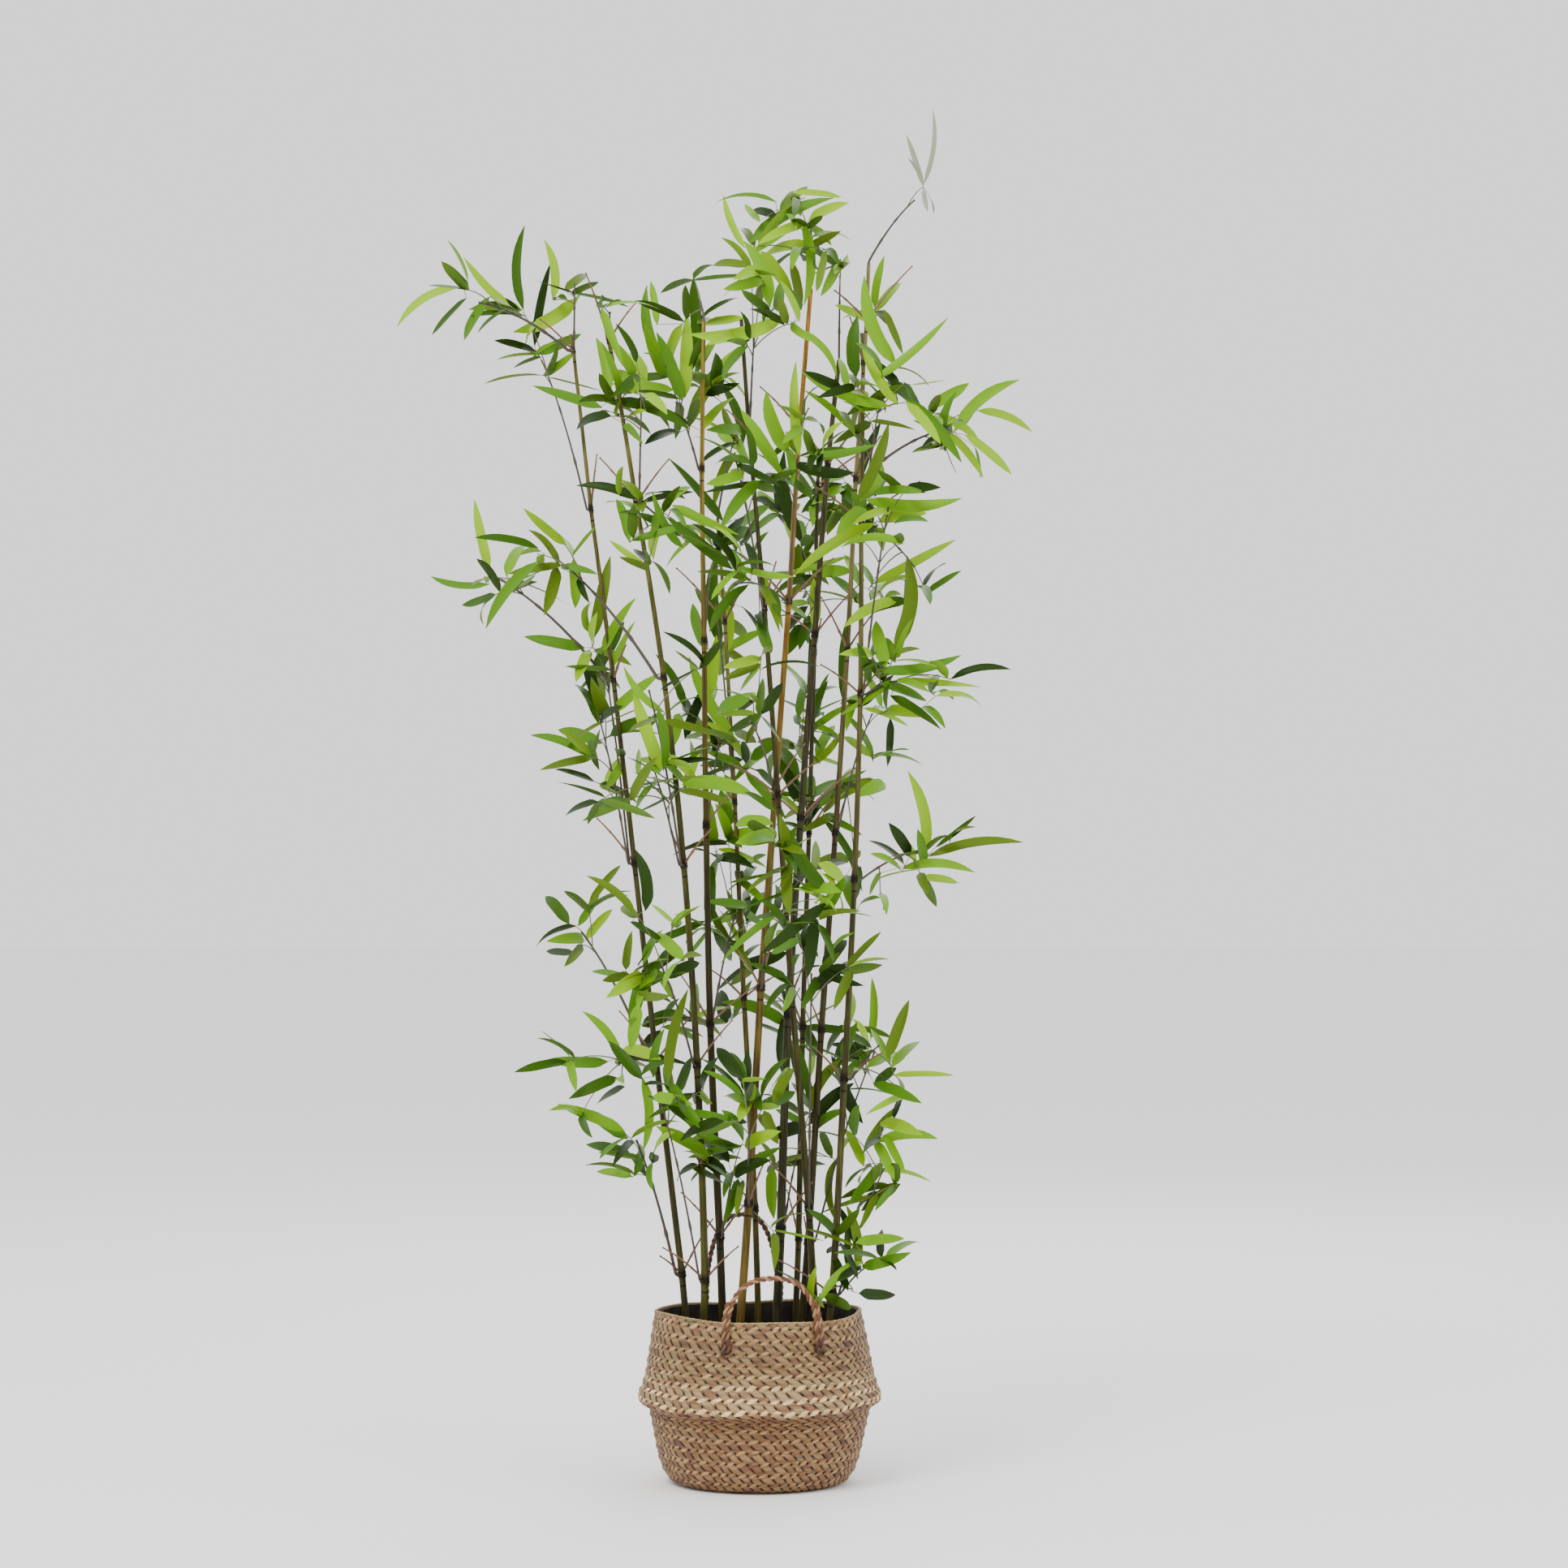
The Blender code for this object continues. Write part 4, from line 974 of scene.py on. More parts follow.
def cane_bark(name, foot, tip):
    """Smooth cane: long streaks, one colour that turns into another towards the tip, and dark rings."""
    material, tree = new_material(name, foot, 0.45, 0.15)
    place = own_place(tree)
    streaks = grain(tree, place, BARK_STREAKS, 3.0)
    patches = grain(tree, place, BARK_PATCHES, 2.0)
    ring = add_node(tree, "ShaderNodeAttribute", attribute_name="ring")
    colour = tinted(
        tree,
        colour_ramp(tree, climbed(tree, place, *BARK_TURN), [(0.0, foot), (1.0, tip)]),
        (colour_ramp(tree, streaks, STREAK_TINTS), 1.0),
        (colour_ramp(tree, patches, PATCH_TINTS), 0.8),
        (colour_ramp(tree, ring.outputs["Fac"], RING_TINTS), 1.0),
    )
    return cover(material, colour, streaks, BARK_RELIEF)


def pot_liner():
    """Thin dark film, wrinkled, that lines the basket."""
    material, tree = new_material("dark_liner", (0.012, 0.010, 0.008), 0.55)
    crease = grain(tree, own_place(tree), FILM_CREASES, 4.0)
    return cover(material, colour_ramp(tree, crease, FILM_TINTS), crease, FILM_RELIEF)


def pot_fill():
    """Dark moss and bark crumbs on top of the pot core."""
    material, tree = new_material("dark_fill", (0.030, 0.022, 0.014), 0.95)
    crumbs = fed_node(tree, "ShaderNodeTexVoronoi", own_place(tree), [("Scale", CRUMBS)])
    shades = fed_node(tree, "ShaderNodeSeparateXYZ", crumbs.outputs["Color"])
    colour = colour_ramp(tree, shades.outputs["X"], CRUMB_TINTS)
    return cover(material, colour, crumbs.outputs["Distance"], CRUMB_RELIEF)


def plain(name, colour, roughness, gloss=0.5):
    material, _ = new_material(name, colour, roughness, gloss)
    return material


# Shared making


def active_object():
    return bpy.context.view_layer.objects.active


def settled():
    """The piece just added, with its place worked into its mesh."""
    bpy.ops.object.transform_apply(location=True, rotation=True, scale=True)
    return active_object()


def new_object(name, data):
    added = bpy.data.objects.new(name, data)
    bpy.context.scene.collection.objects.link(added)
    return added


def pick(piece):
    """Makes a piece the active one and the only one selected."""
    bpy.ops.object.select_all(action="DESELECT")
    piece.select_set(True)
    bpy.context.view_layer.objects.active = piece


def edit_all(step, **settings):
    """Runs one editing step on the whole mesh of the active piece."""
    bpy.ops.object.mode_set(mode="EDIT")
    bpy.ops.mesh.select_all(action="SELECT")
    step(**settings)
    bpy.ops.object.mode_set(mode="OBJECT")


def finish_piece(piece, name, materials, slot, *nodes):
    """Names a piece, gives it its materials, hangs it on the root body and hides the parts of the model that
    it replaces.
    """
    piece.name = name
    piece.data.name = name
    for material in materials:
        piece.data.materials.append(material)
    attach(piece, "root")
    if nodes:
        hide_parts(*nodes)
    piece.select_set(False)
    return piece


def vertex_places(mesh):
    places = np.empty(len(mesh.vertices) * 3, np.float32)
    mesh.vertices.foreach_get("co", places)
    return places.reshape(-1, 3).astype(np.float64)


def put_vertices(mesh, places):
    mesh.vertices.foreach_set("co", places.astype(np.float32).ravel())
    mesh.update()


def shade_smooth(piece, angle=SMOOTH_ANGLE):
    pick(piece)
    bpy.ops.object.shade_smooth_by_angle(angle=angle)
    piece.select_set(False)


def draw_line(points):
    """A chain of edges through the points, drawn on from one vertex."""
    bpy.ops.mesh.primitive_plane_add(size=0.01, location=points[0])
    bpy.ops.object.mode_set(mode="EDIT")
    bpy.ops.mesh.merge(type="CENTER")
    for start, end in zip(points, points[1:]):
        move = Vector(end) - Vector(start)
        bpy.ops.mesh.extrude_region_move(TRANSFORM_OT_translate={"value": tuple(move)})
    bpy.ops.object.mode_set(mode="OBJECT")
    return settled()


def spin_round(steps):
    """Turns the active profile right round the upright axis and closes the seam."""
    edit_all(bpy.ops.mesh.spin, steps=steps, angle=math.tau, center=(0, 0, 0), axis=(0, 0, 1))
    edit_all(bpy.ops.mesh.remove_doubles, threshold=SEAM_WELD)
    edit_all(bpy.ops.mesh.normals_make_consistent, inside=False)


def apply_modifier(piece, name, kind, **settings):
    modifier = piece.modifiers.new(name, kind)
    for key, value in settings.items():
        setattr(modifier, key, value)
    bpy.context.view_layer.objects.active = piece
    bpy.ops.object.modifier_apply(modifier=modifier.name)


def joined(name, bodies):
    """One piece from (vertices, faces, number of each face's material) arrays."""
    faces = []
    start = 0
    for vertices, own_faces, _ in bodies:
        faces += [tuple(int(corner) + start for corner in face) for face in own_faces]
        start += len(vertices)
    mesh = bpy.data.meshes.new(name)
    mesh.from_pydata(np.concatenate([body[0] for body in bodies]).tolist(), [], faces)
    sides = np.concatenate([body[2] for body in bodies]).astype(np.int32)
    mesh.polygons.foreach_set("material_index", sides)
    mesh.update()
    piece = new_object(name, mesh)
    shade_smooth(piece, FINE_SMOOTH_ANGLE)
    return piece


def pointing(bearing, rise=0.0):
    """The direction with this bearing round the upright axis and this rise."""
    return Vector((math.cos(bearing) * math.cos(rise), math.sin(bearing) * math.cos(rise), math.sin(rise)))


def round_places(radius, turn, height):
    return np.stack([radius * np.cos(turn), radius * np.sin(turn), height], axis=1)


def waves(rows, turn, height):
    """The sum of waves that run round the upright axis and climb along it."""
    return sum(size * np.sin(count * turn + climb * height + start) for size, count, climb, start in rows)


# Basket


def slump(places):
    """The hand-made unevenness of the basket: a wavy rim, a sagging fold, slight dents."""
    x, y, z = places.T
    turn = np.arctan2(y, x)
    radius = np.hypot(x, y)
    stout = np.maximum(radius, CORE_RADIUS)
    fold = np.clip(1.0 - np.abs(z - FOLD_HEIGHT) / FOLD_REACH, 0.0, 1.0)
    front = 0.5 - 0.5 * np.sin(turn)
    rim = np.clip((z - RIM_WAVES_FOOT) / (RIM_HEIGHT - RIM_WAVES_FOOT), 0.0, RIM_WAVES_LIMIT)
    body = np.clip(z / FOOT_REACH, 0.0, 1.0)
    drop = fold * (FOLD_SAG * front**2 + waves(FOLD_WAVES, turn, z))
    lift = rim * waves(RIM_WAVES, turn, z)
    reach = radius * (1.0 + body * waves(DENT_WAVES, turn, z) / stout)
    turn = turn + body * waves(DRIFT_WAVES, turn, z) / stout
    return round_places(reach, turn, np.maximum(z - drop + lift, np.minimum(z, FLOOR_CLEARANCE)))


def wall_table():
    """The wall's profile with its corners eased, how far a strand turns on it and how far it runs."""
    points = np.array(WALL)
    for _ in range(2):
        near = points[:-1] * 0.75 + points[1:] * 0.25
        far = points[:-1] * 0.25 + points[1:] * 0.75
        middle = np.stack([near, far], axis=1).reshape(-1, 2)
        points = np.concatenate([points[:1], middle[1:-1], points[-1:]])
    runs = np.diff(points, axis=0)
    lengths = np.hypot(*runs.T)
    mid_radius = (points[1:, 0] + points[:-1, 0]) / 2.0
    mid_height = (points[1:, 1] + points[:-1, 1]) / 2.0
    slant = np.radians(np.interp(mid_height, *np.array(STRAND_SLANTS).T))
    turned = np.concatenate([[0.0], np.cumsum(lengths / (mid_radius * np.tan(slant)))])
    walked = np.concatenate([[0.0], np.cumsum(lengths / np.sin(slant))])
    return points, turned, walked


def make_strand(direction):
    """One flat strand that climbs the wall on the slant, over and under those that cross it."""
    points, turned, walked = wall_table()
    crossings = turned[-1] * STRANDS / math.pi
    steps = int(crossings * STRAND_STEPS_PER_CROSSING)
    bpy.ops.mesh.primitive_grid_add(x_subdivisions=STRAND_COLUMNS, y_subdivisions=steps, size=1.0)
    strand = active_object()
    flat = vertex_places(strand.data)
    across = flat[:, 0] * 2.0
    turn = (flat[:, 1] + 0.5) * turned[-1]
    radius = np.interp(turn, turned, points[:, 0])
    height = np.interp(turn, turned, points[:, 1])
    slope = np.stack([np.gradient(points[:, 0]), np.gradient(points[:, 1])], axis=1)
    slope /= np.hypot(*slope.T)[:, None]
    out_radius = np.interp(turn, turned, -slope[:, 1])
    out_height = np.interp(turn, turned, slope[:, 0])
    wave = np.cos(turn * STRANDS)
    wave = direction * np.sign(wave) * np.abs(wave) ** STRAND_SQUARENESS
    lift = STRAND_WAVE * wave + STRAND_CROWN * (1.0 - across**2) - STRAND_SINK[direction]
    bearing = direction * turn + across * (math.pi / STRANDS) * STRAND_SHARES[direction]
    put_vertices(strand.data, round_places(radius + out_radius * lift, bearing, height + out_height * lift))
    lengths = np.interp(turn, turned, walked)
    uv = strand.data.uv_layers.active.data
    for loop in strand.data.loops:
        corner = loop.vertex_index
        uv[loop.index].uv = (min(flat[corner, 0] + 0.5, STRAND_EDGE), lengths[corner])
    if direction < 0:
        edit_all(bpy.ops.mesh.flip_normals)
    return strand


def make_weave(name, direction, material, *nodes):
    """All the strands that slant one way, copied round the basket from one."""
    strand = make_strand(direction)
    apply_modifier(strand, "thickness", "SOLIDIFY", thickness=STRAND_THICKNESS, offset=-1.0)
    bpy.ops.object.empty_add(location=(0.0, 0.0, 0.0))
    pivot = active_object()
    pivot.rotation_euler.z = math.tau / STRANDS
    bpy.context.view_layer.update()
    strand.select_set(True)
    apply_modifier(
        strand,
        "round",
        "ARRAY",
        count=STRANDS,
        use_relative_offset=False,
        use_object_offset=True,
        offset_object=pivot,
        offset_u=1.0,
    )
    bpy.data.objects.remove(pivot, do_unlink=True)
    places = push_holes(slump(vertex_places(strand.data)))
    rng = np.random.default_rng(SEED)
    jitter = rng.normal(0.0, STRAND_JITTER, places.shape) * (places[:, 2:] > FLAT_FOOT)
    put_vertices(strand.data, places + jitter)
    shade_smooth(strand)
    return finish_piece(strand, name, [material], "seagrass", *nodes)


def push_holes(places):
    """Presses the weave in where the rope ends pass through it, so that the dark lining shows."""
    for sizes in HANDLES.values():
        path, outwards, _ = handle_path(*sizes)
        for end in (path[0], path[-1]):
            middle = np.array(end) - np.array(outwards) * HANDLE_CLEARANCE - np.array(UP) * HOLE_DROP
            depth = HOLE_DEPTH * np.exp(-(((places - middle) / HOLE_RADIUS) ** 2).sum(axis=1) ** 2)
            places = places - depth[:, None] * np.array(outwards)
    return places


def make_liner(material):
    """The dark film inside the weave, with its own thickness, closed under the pot."""
    points, _, _ = wall_table()
    line = [(radius - LINER_INSET, 0.0, max(height, LINER_FLOOR)) for radius, height in points[::2]]
    line[0] = (line[0][0], 0.0, line[0][2] - LINER_SINK)
    liner = draw_line(line + [(0.0, 0.0, LINER_FLOOR)])
    spin_round(LINER_STEPS)
    put_vertices(liner.data, slump(vertex_places(liner.data)))
    apply_modifier(liner, "film", "SOLIDIFY", thickness=LINER_WALL, offset=0.0)
    shade_smooth(liner)
    return finish_piece(liner, "pot_liner", [material], "seagrass")


def make_rim(material):
    """The strands' ends, rolled over and bound round the rim."""
    bpy.ops.mesh.primitive_torus_add(
        major_radius=RIM_RADIUS,
        minor_radius=RIM_ROLL,
        major_segments=RIM_STEPS,
        minor_segments=RIM_SIDES,
        location=(0.0, 0.0, RIM_HEIGHT - RIM_SINK),
    )
    rim = settled()
    places = vertex_places(rim.data)
    turn = np.arctan2(places[:, 1], places[:, 0])
    radius = np.hypot(places[:, 0], places[:, 1])
    around = np.arctan2(places[:, 2] - RIM_HEIGHT, radius - RIM_RADIUS)
    swell = 1.0 + RIM_SWELL * np.cos(turn * STRANDS * 2.0 + around)
    middle = round_places(RIM_RADIUS, turn, np.full_like(turn, RIM_HEIGHT))
    put_vertices(rim.data, slump(middle + (places - middle) * swell[:, None]))
    shade_smooth(rim)
    return finish_piece(rim, "rim_roll", [material], "seagrass")


def make_fill(material):
    """The lumpy top of the fill, with a skirt that runs down inside the liner."""
    line = [(FILL_RADIUS * index / FILL_RINGS, 0.0, FILL_TOP) for index in range(FILL_RINGS + 1)]
    line += [(FILL_RADIUS - inwards, 0.0, FILL_TOP - down) for inwards, down in FILL_SKIRT]
    fill = draw_line(line)
    spin_round(FILL_STEPS)
    places = vertex_places(fill.data)
    x, y, z = places.T
    lumps = FILL_LUMPS * np.sin(x * 310 + 2.0 * np.sin(y * 170)) * np.sin(y * 290 + 1.3 * np.sin(x * 210))
    lumps += FILL_CRUMBS * np.sin(x * 700 + y * 530) * np.sin(y * 810 - x * 320)
    rim = np.clip(np.hypot(x, y) / FILL_RADIUS, 0.0, 1.0)
    top = z > FILL_TOP - MM
    places[:, 2] += top * (lumps + FILL_RISE * rim**4)
    put_vertices(fill.data, places)
    shade_smooth(fill)
    return finish_piece(fill, "pot_fill", [material], "fill", "fill")


# Rope handles


def wall_radius(height):
    points = sorted(WALL[:4], key=lambda point: point[1])
    return float(np.interp(height, [point[1] for point in points], [point[0] for point in points]))


def handle_path(bearing, half_width, rise):
    """Middle line of a handle, from one hole in the wall up over the arch to the other."""
    outwards = pointing(math.radians(bearing))
    along = Vector((-outwards.y, outwards.x, 0.0))
    power = 2.0 / HANDLE_SQUARENESS
    path = []
    for index in range(HANDLE_STEPS + 1):
        turn = math.pi * index / HANDLE_STEPS
        side = -math.copysign(abs(math.cos(turn)) ** power, math.cos(turn)) * half_width
        height = HANDLE_HOLE_HEIGHT + rise * max(math.sin(turn), 0.0) ** power
        reach = wall_radius(min(height, RIM_HEIGHT)) + HANDLE_CLEARANCE
        bend = half_width if height > RIM_HEIGHT else abs(side)
        depth = math.sqrt(reach**2 - bend**2)
        path.append(outwards * depth + along * side + UP * height)
    return path, outwards, along


def walk(path, step):
    """Points at even steps along a path."""
    corners = np.array([tuple(point) for point in path])
    lengths = np.concatenate([[0.0], np.cumsum(np.linalg.norm(np.diff(corners, axis=0), axis=1))])
    count = max(int(lengths[-1] / step), 4)
    marks = np.linspace(0.0, lengths[-1], count + 1)
    return marks, np.stack([np.interp(marks, lengths, corners[:, axis]) for axis in range(3)], axis=1)


def frames_along(points):
    """A steady pair of side directions at each point of a path."""
    runs = np.gradient(points, axis=0)
    runs /= np.linalg.norm(runs, axis=1)[:, None]
    side = Vector(runs[0]).orthogonal().normalized()
    sides = []
    others = []
    for run in runs:
        run = Vector(run)
        side = (side - run * side.dot(run)).normalized()
        sides.append(tuple(side))
        others.append(tuple(run.cross(side)))
    return np.array(sides), np.array(others)


def smooth_points(points, times):
    for _ in range(times):
        middle = (points[:-2] + 2.0 * points[1:-1] + points[2:]) / 4.0
        points = np.concatenate([points[:1], middle, points[-1:]])
    return points


def make_curve(name, points, radii, sides=8):
    """A round tube through the points, made from a curve and turned to a mesh."""
    curve = bpy.data.curves.new(name, "CURVE")
    curve.dimensions = "3D"
    curve.bevel_depth = 1.0
    curve.bevel_resolution = max(sides // 2 - 2, 0)
    curve.use_fill_caps = True
    spline = curve.splines.new("POLY")
    spline.points.add(len(points) - 1)
    for knot, point, radius in zip(spline.points, points, radii):
        knot.co = (*point, 1.0)
        knot.radius = radius
    pick(new_object(name, curve))
    bpy.ops.object.convert(target="MESH")
    piece = active_object()
    edit_all(bpy.ops.mesh.remove_doubles, threshold=WELD)
    bpy.ops.object.shade_smooth()
    piece.select_set(False)
    return piece


def lay_plies(name, points, taper, materials):
    """Two plies laid round one middle line."""
    marks, points = walk(points, PLY_STEP)
    points = smooth_points(points, PLY_SMOOTHING)
    sides, others = frames_along(points)
    plies = []
    for number, material in enumerate(materials):
        turn = marks / PLY_PITCH * math.tau + math.pi * number
        swell = 1.0 + PLY_SWELL * np.sin(marks * PLY_LUMPS + 2.0 * number)
        offset = PLY_OFFSET * taper
        line = points + offset * (np.cos(turn)[:, None] * sides + np.sin(turn)[:, None] * others)
        plies.append((make_curve(f"{name}_ply_{number + 1}", line, PLY_RADIUS * taper * swell), material))
    return plies


def make_handle(node, materials):
    """The rope arch, with each end doubled back up its own leg and left as a short stub."""
    path, outwards, along = handle_path(*HANDLES[node])
    nudged = []
    for point in path:
        side = 1.0 if (point - path[len(path) // 2]).dot(along) > 0 else -1.0
        share = (LEG_END_HEIGHT - point.z) / (LEG_END_HEIGHT - HANDLE_HOLE_HEIGHT)
        nudged.append(point - along * side * LEG_SPREAD * min(max(share, 0.0), 1.0))
    start = path[0] - outwards * LEG_SINK
    end = path[-1] - outwards * LEG_SINK
    pieces = lay_plies(node, [start] + nudged + [end], 1.0, materials)
    for number, (legs, side) in enumerate(((path, -1.0), (path[::-1], 1.0))):
        stub = [legs[0] - outwards * END_SINK]
        for point in legs:
            if point.z > LEG_END_HEIGHT:
                break
            share = (point.z - HANDLE_HOLE_HEIGHT) / (LEG_END_HEIGHT - HANDLE_HOLE_HEIGHT)
            flare = LEG_SPREAD * (1.0 + END_FLARE * share**3)
            stub.append(point + along * side * flare + outwards * END_LIFT)
        pieces += lay_plies(f"{node}_end_{number + 1}", stub, END_TAPER, materials)
    nodes = [node]
    for piece, material in pieces:
        finish_piece(piece, piece.name, [material], "rope", *nodes)
        nodes = []


# Canes


def ring_heights(cane):
    top = CANES[cane][1][2]
    heights = []
    height = FILL_TOP + CANES[cane][4]
    pitch = RING_PITCH
    while height < top - TOP_CLEARANCE:
        heights.append(height)
        height += pitch
        pitch *= RING_PITCH_SHRINK
    return heights


def cane_point(cane, height):
    """The middle of a cane at a height: a straight lean with one slight bow."""
    foot, top, bow = CANES[cane][:3]
    share = (height - FILL_TOP) / (top[2] - FILL_TOP)
    x = foot[0] + (top[0] - foot[0]) * share + bow * 4.0 * share * (1.0 - share)
    y = foot[1] + (top[1] - foot[1]) * share
    return Vector((x, y, height))


def cane_radius(cane, height):
    top, radius = CANES[cane][1], CANES[cane][3]
    share = (height - FILL_TOP) / (top[2] - FILL_TOP)
    return radius * (1.0 - (1.0 - CANE_TIP_SHARE) * share)


def ring_kink(index):
    return pointing(GOLDEN_ANGLE * index) * RING_KINK


def ring_point(cane, index):
    return cane_point(cane, ring_heights(cane)[index]) + ring_kink(index)


def cane_line(cane):
    """Heights up a cane with the swelling at each, close together at the rings."""
    top = CANES[cane][1][2]
    rings = ring_heights(cane)
    marks = []
    for ring in rings:
        marks += [(ring + shift, swell) for shift, swell in RING_PROFILE]
    edges = [FILL_TOP - CANE_FOOT_SINK] + rings + [top]
    for low, high in zip(edges, edges[1:]):
        first = low + (RING_PROFILE[-1][0] + RING_ROOM if low in rings else 0.0)
        last = high + (RING_PROFILE[0][0] - RING_ROOM if high in rings else 0.0)
        count = max(int((last - first) / CANE_STEP), 1)
        marks += [(first + (last - first) * index / count, 1.0) for index in range(count + 1)]
    return sorted(mark for mark in marks if mark[0] <= top)


def make_cane(cane, bark):
    """One cane: its tube drawn through the rings, then fine ridges pressed into the bark."""
    rings = ring_heights(cane)
    line = cane_line(cane)
    marks = [FILL_TOP, *rings, line[-1][0]]
    kinks = [Vector(), *[ring_kink(index) for index in range(len(rings))], Vector()]
    points = []
    radii = []
    for height, swell in line:
        shift = Vector([np.interp(height, marks, [kink[axis] for kink in kinks]) for axis in range(3)])
        points.append(tuple(cane_point(cane, height) + shift))
        radii.append(cane_radius(cane, height) * swell)
    piece = make_curve(f"stem_{cane}", points, radii, sides=CANE_SIDES)
    mesh = piece.data
    places = vertex_places(mesh)
    heights = places[:, 2]
    x, y, z = np.array(points).T
    middles = np.stack([np.interp(heights, z, x), np.interp(heights, z, y)], axis=1)
    spokes = places[:, :2] - middles
    ridges = waves(BARK_RIDGES, np.arctan2(spokes[:, 1], spokes[:, 0]), heights)
    places[:, :2] = middles + spokes * (1.0 + ridges)[:, None]
    put_vertices(mesh, places)
    nearest = np.full(len(heights), 1.0)
    for ring in rings:
        shift = (heights - ring) / SCAR_REACH
        nearest = np.where(np.abs(shift) < np.abs(nearest), shift, nearest)
    mark = mesh.attributes.new("ring", "FLOAT", "POINT")
    mark.data.foreach_set("value", (np.clip(nearest, -1.0, 1.0) * 0.5 + 0.5).astype(np.float32))
    return finish_piece(piece, f"stem_{cane}", [bark], f"cane_{CANES[cane][5]}", f"cane_{cane}")


# Sprays


def arched(start, end, steps, arch):
    """Points from start to end along a low arch."""
    lift = UP * (arch * (end - start).length)
    points = []
    for index in range(steps + 1):
        share = index / steps
        points.append(start.lerp(end, share) + lift * (4.0 * share * (1.0 - share)))
    return points


def spray_route(name):
    """Where a spray's stem leaves its cane, and its arch up to the middle of its leaves."""
    cane = name[0]
    ring, middle, _ = SPRAYS[name]
    middle = Vector(middle)
    if ring == TOP:
        start = cane_point(cane, CANES[cane][1][2]) - UP * STEM_SINK
        stub = UP * STEM_STUB
    else:
        start = ring_point(cane, ring)
        outwards = Vector((middle.x - start.x, middle.y - start.y, 0.0)).normalized()
        stub = outwards * (STEM_STUB + cane_radius(cane, start.z))
    return [start] + arched(start + stub, middle, STEM_STEPS, STEM_ARCH)


def twig_tube(path, radii, joints=0.0, sides=TWIG_SIDES):
    """A tapering twig as arrays, with small swellings where it has joints."""
    _, points = walk(path, TWIG_STRIDE)
    side, other = frames_along(points)
    turn = np.linspace(0.0, math.tau, sides, endpoint=False)
    share = np.linspace(0.0, 1.0, len(points))
    radius = radii[0] + (radii[1] - radii[0]) * share
    peaks = np.cos(share * math.tau * JOINTS_PER_TWIG) * JOINT_SHARPNESS - (JOINT_SHARPNESS - 1.0)
    radius = radius * (1.0 + joints * np.clip(peaks, 0.0, 1.0))
    ring = side[:, None, :] * np.cos(turn)[None, :, None] + other[:, None, :] * np.sin(turn)[None, :, None]
    vertices = (points[:, None, :] + ring * radius[:, None, None]).reshape(-1, 3)
    faces = []
    for level in range(len(points) - 1):
        for corner in range(sides):
            beside = (corner + 1) % sides
            low, high = level * sides, (level + 1) * sides
            faces.append((low + corner, low + beside, high + beside, high + corner))
    faces.append(tuple(range(sides))[::-1])
    faces.append(tuple((len(points) - 1) * sides + corner for corner in range(sides)))
    return vertices, faces, np.zeros(len(faces))


def eased(share, start, reach, power):
    return np.clip((share - start) / reach, 0.0, 1.0) ** power


def leaf_outline(share):
    """Half width of a leaf along its length: a short stalk, a round base and a long fine tip."""
    return np.maximum(eased(share, *LEAF_BASE) * (1.0 - eased(share, *LEAF_TIP)), LEAF_STALK)


def leaf_pattern():
    """The one flat leaf that all the others are bent from: a grid folded along its midrib."""
    bpy.ops.mesh.primitive_grid_add(x_subdivisions=BLADE_COLUMNS, y_subdivisions=BLADE_STEPS, size=1.0)
    blade = active_object()
    places = vertex_places(blade.data)
    across = places[:, 0] * 2.0
    share = np.clip(places[:, 1] + 0.5, 0.0, 1.0) ** BLADE_SPACING
    half = leaf_outline(share) * 0.5
    fold = BLADE_FOLD * half * np.abs(across) ** BLADE_FOLD_CURVE
    put_vertices(blade.data, np.stack([across * half, share, fold], axis=1))
    apply_modifier(blade, "thickness", "SOLIDIFY", thickness=BLADE_THICKNESS, offset=-1.0, material_offset=1)
    mesh = blade.data
    pattern = vertex_places(mesh)
    faces = [tuple(face.vertices) for face in mesh.polygons]
    sides = np.array([1 if face.normal.z < 0 else 0 for face in mesh.polygons])
    bpy.data.objects.remove(blade, do_unlink=True)
    return pattern, faces, sides


def bent_leaf(pattern, root, heading, over, size, bends, sweep):
    """A leaf laid out along its heading, bent up or down and twisted towards its tip."""
    vertices, faces, sides = pattern
    length, width = size
    arch, droop, twist = bends
    over = (over - heading * over.dot(heading)).normalized()
    side = heading.cross(over)
    share = vertices[:, 1]
    turn = twist * np.maximum(share, 0.0) ** TWIST_CURVE
    across = vertices[:, 0] * width
    above = vertices[:, 2] * width
    right = across * np.cos(turn) - above * np.sin(turn)
    lifted = across * np.sin(turn) + above * np.cos(turn)
    bow = 4.0 * share * (1.0 - share)
    rise = arch * length * bow - droop * length * share**2
    places = (
        np.array(root)[None, :]
        + np.outer(share * length, np.array(heading))
        + np.outer(right, np.array(side))
        + np.outer(lifted + rise, np.array(over))
        + np.outer(bow, np.array(sweep))
    )
    return places, faces, sides


def nearest_share(route, point, low, high):
    """How far along a stem a twig leaves it, a little before the stem passes the point."""
    best = min(range(len(route)), key=lambda index: (route[index] - point).length)
    return min(max(best / (len(route) - 1) - TWIG_LEAD, low), high)


def point_on(route, share):
    place = share * (len(route) - 1)
    index = min(int(place), len(route) - 2)
    return route[index].lerp(route[index + 1], place - index)


def dealt_tones(mix, count, rng):
    """The tones of a spray's leaves, in the shares of its mix and in mixed order."""
    reached = np.cumsum(MIXES[mix])
    names = list(TONES)
    tones = [names[int(np.searchsorted(reached, (number + 0.5) / count))] for number in range(count)]
    rng.shuffle(tones)
    return tones


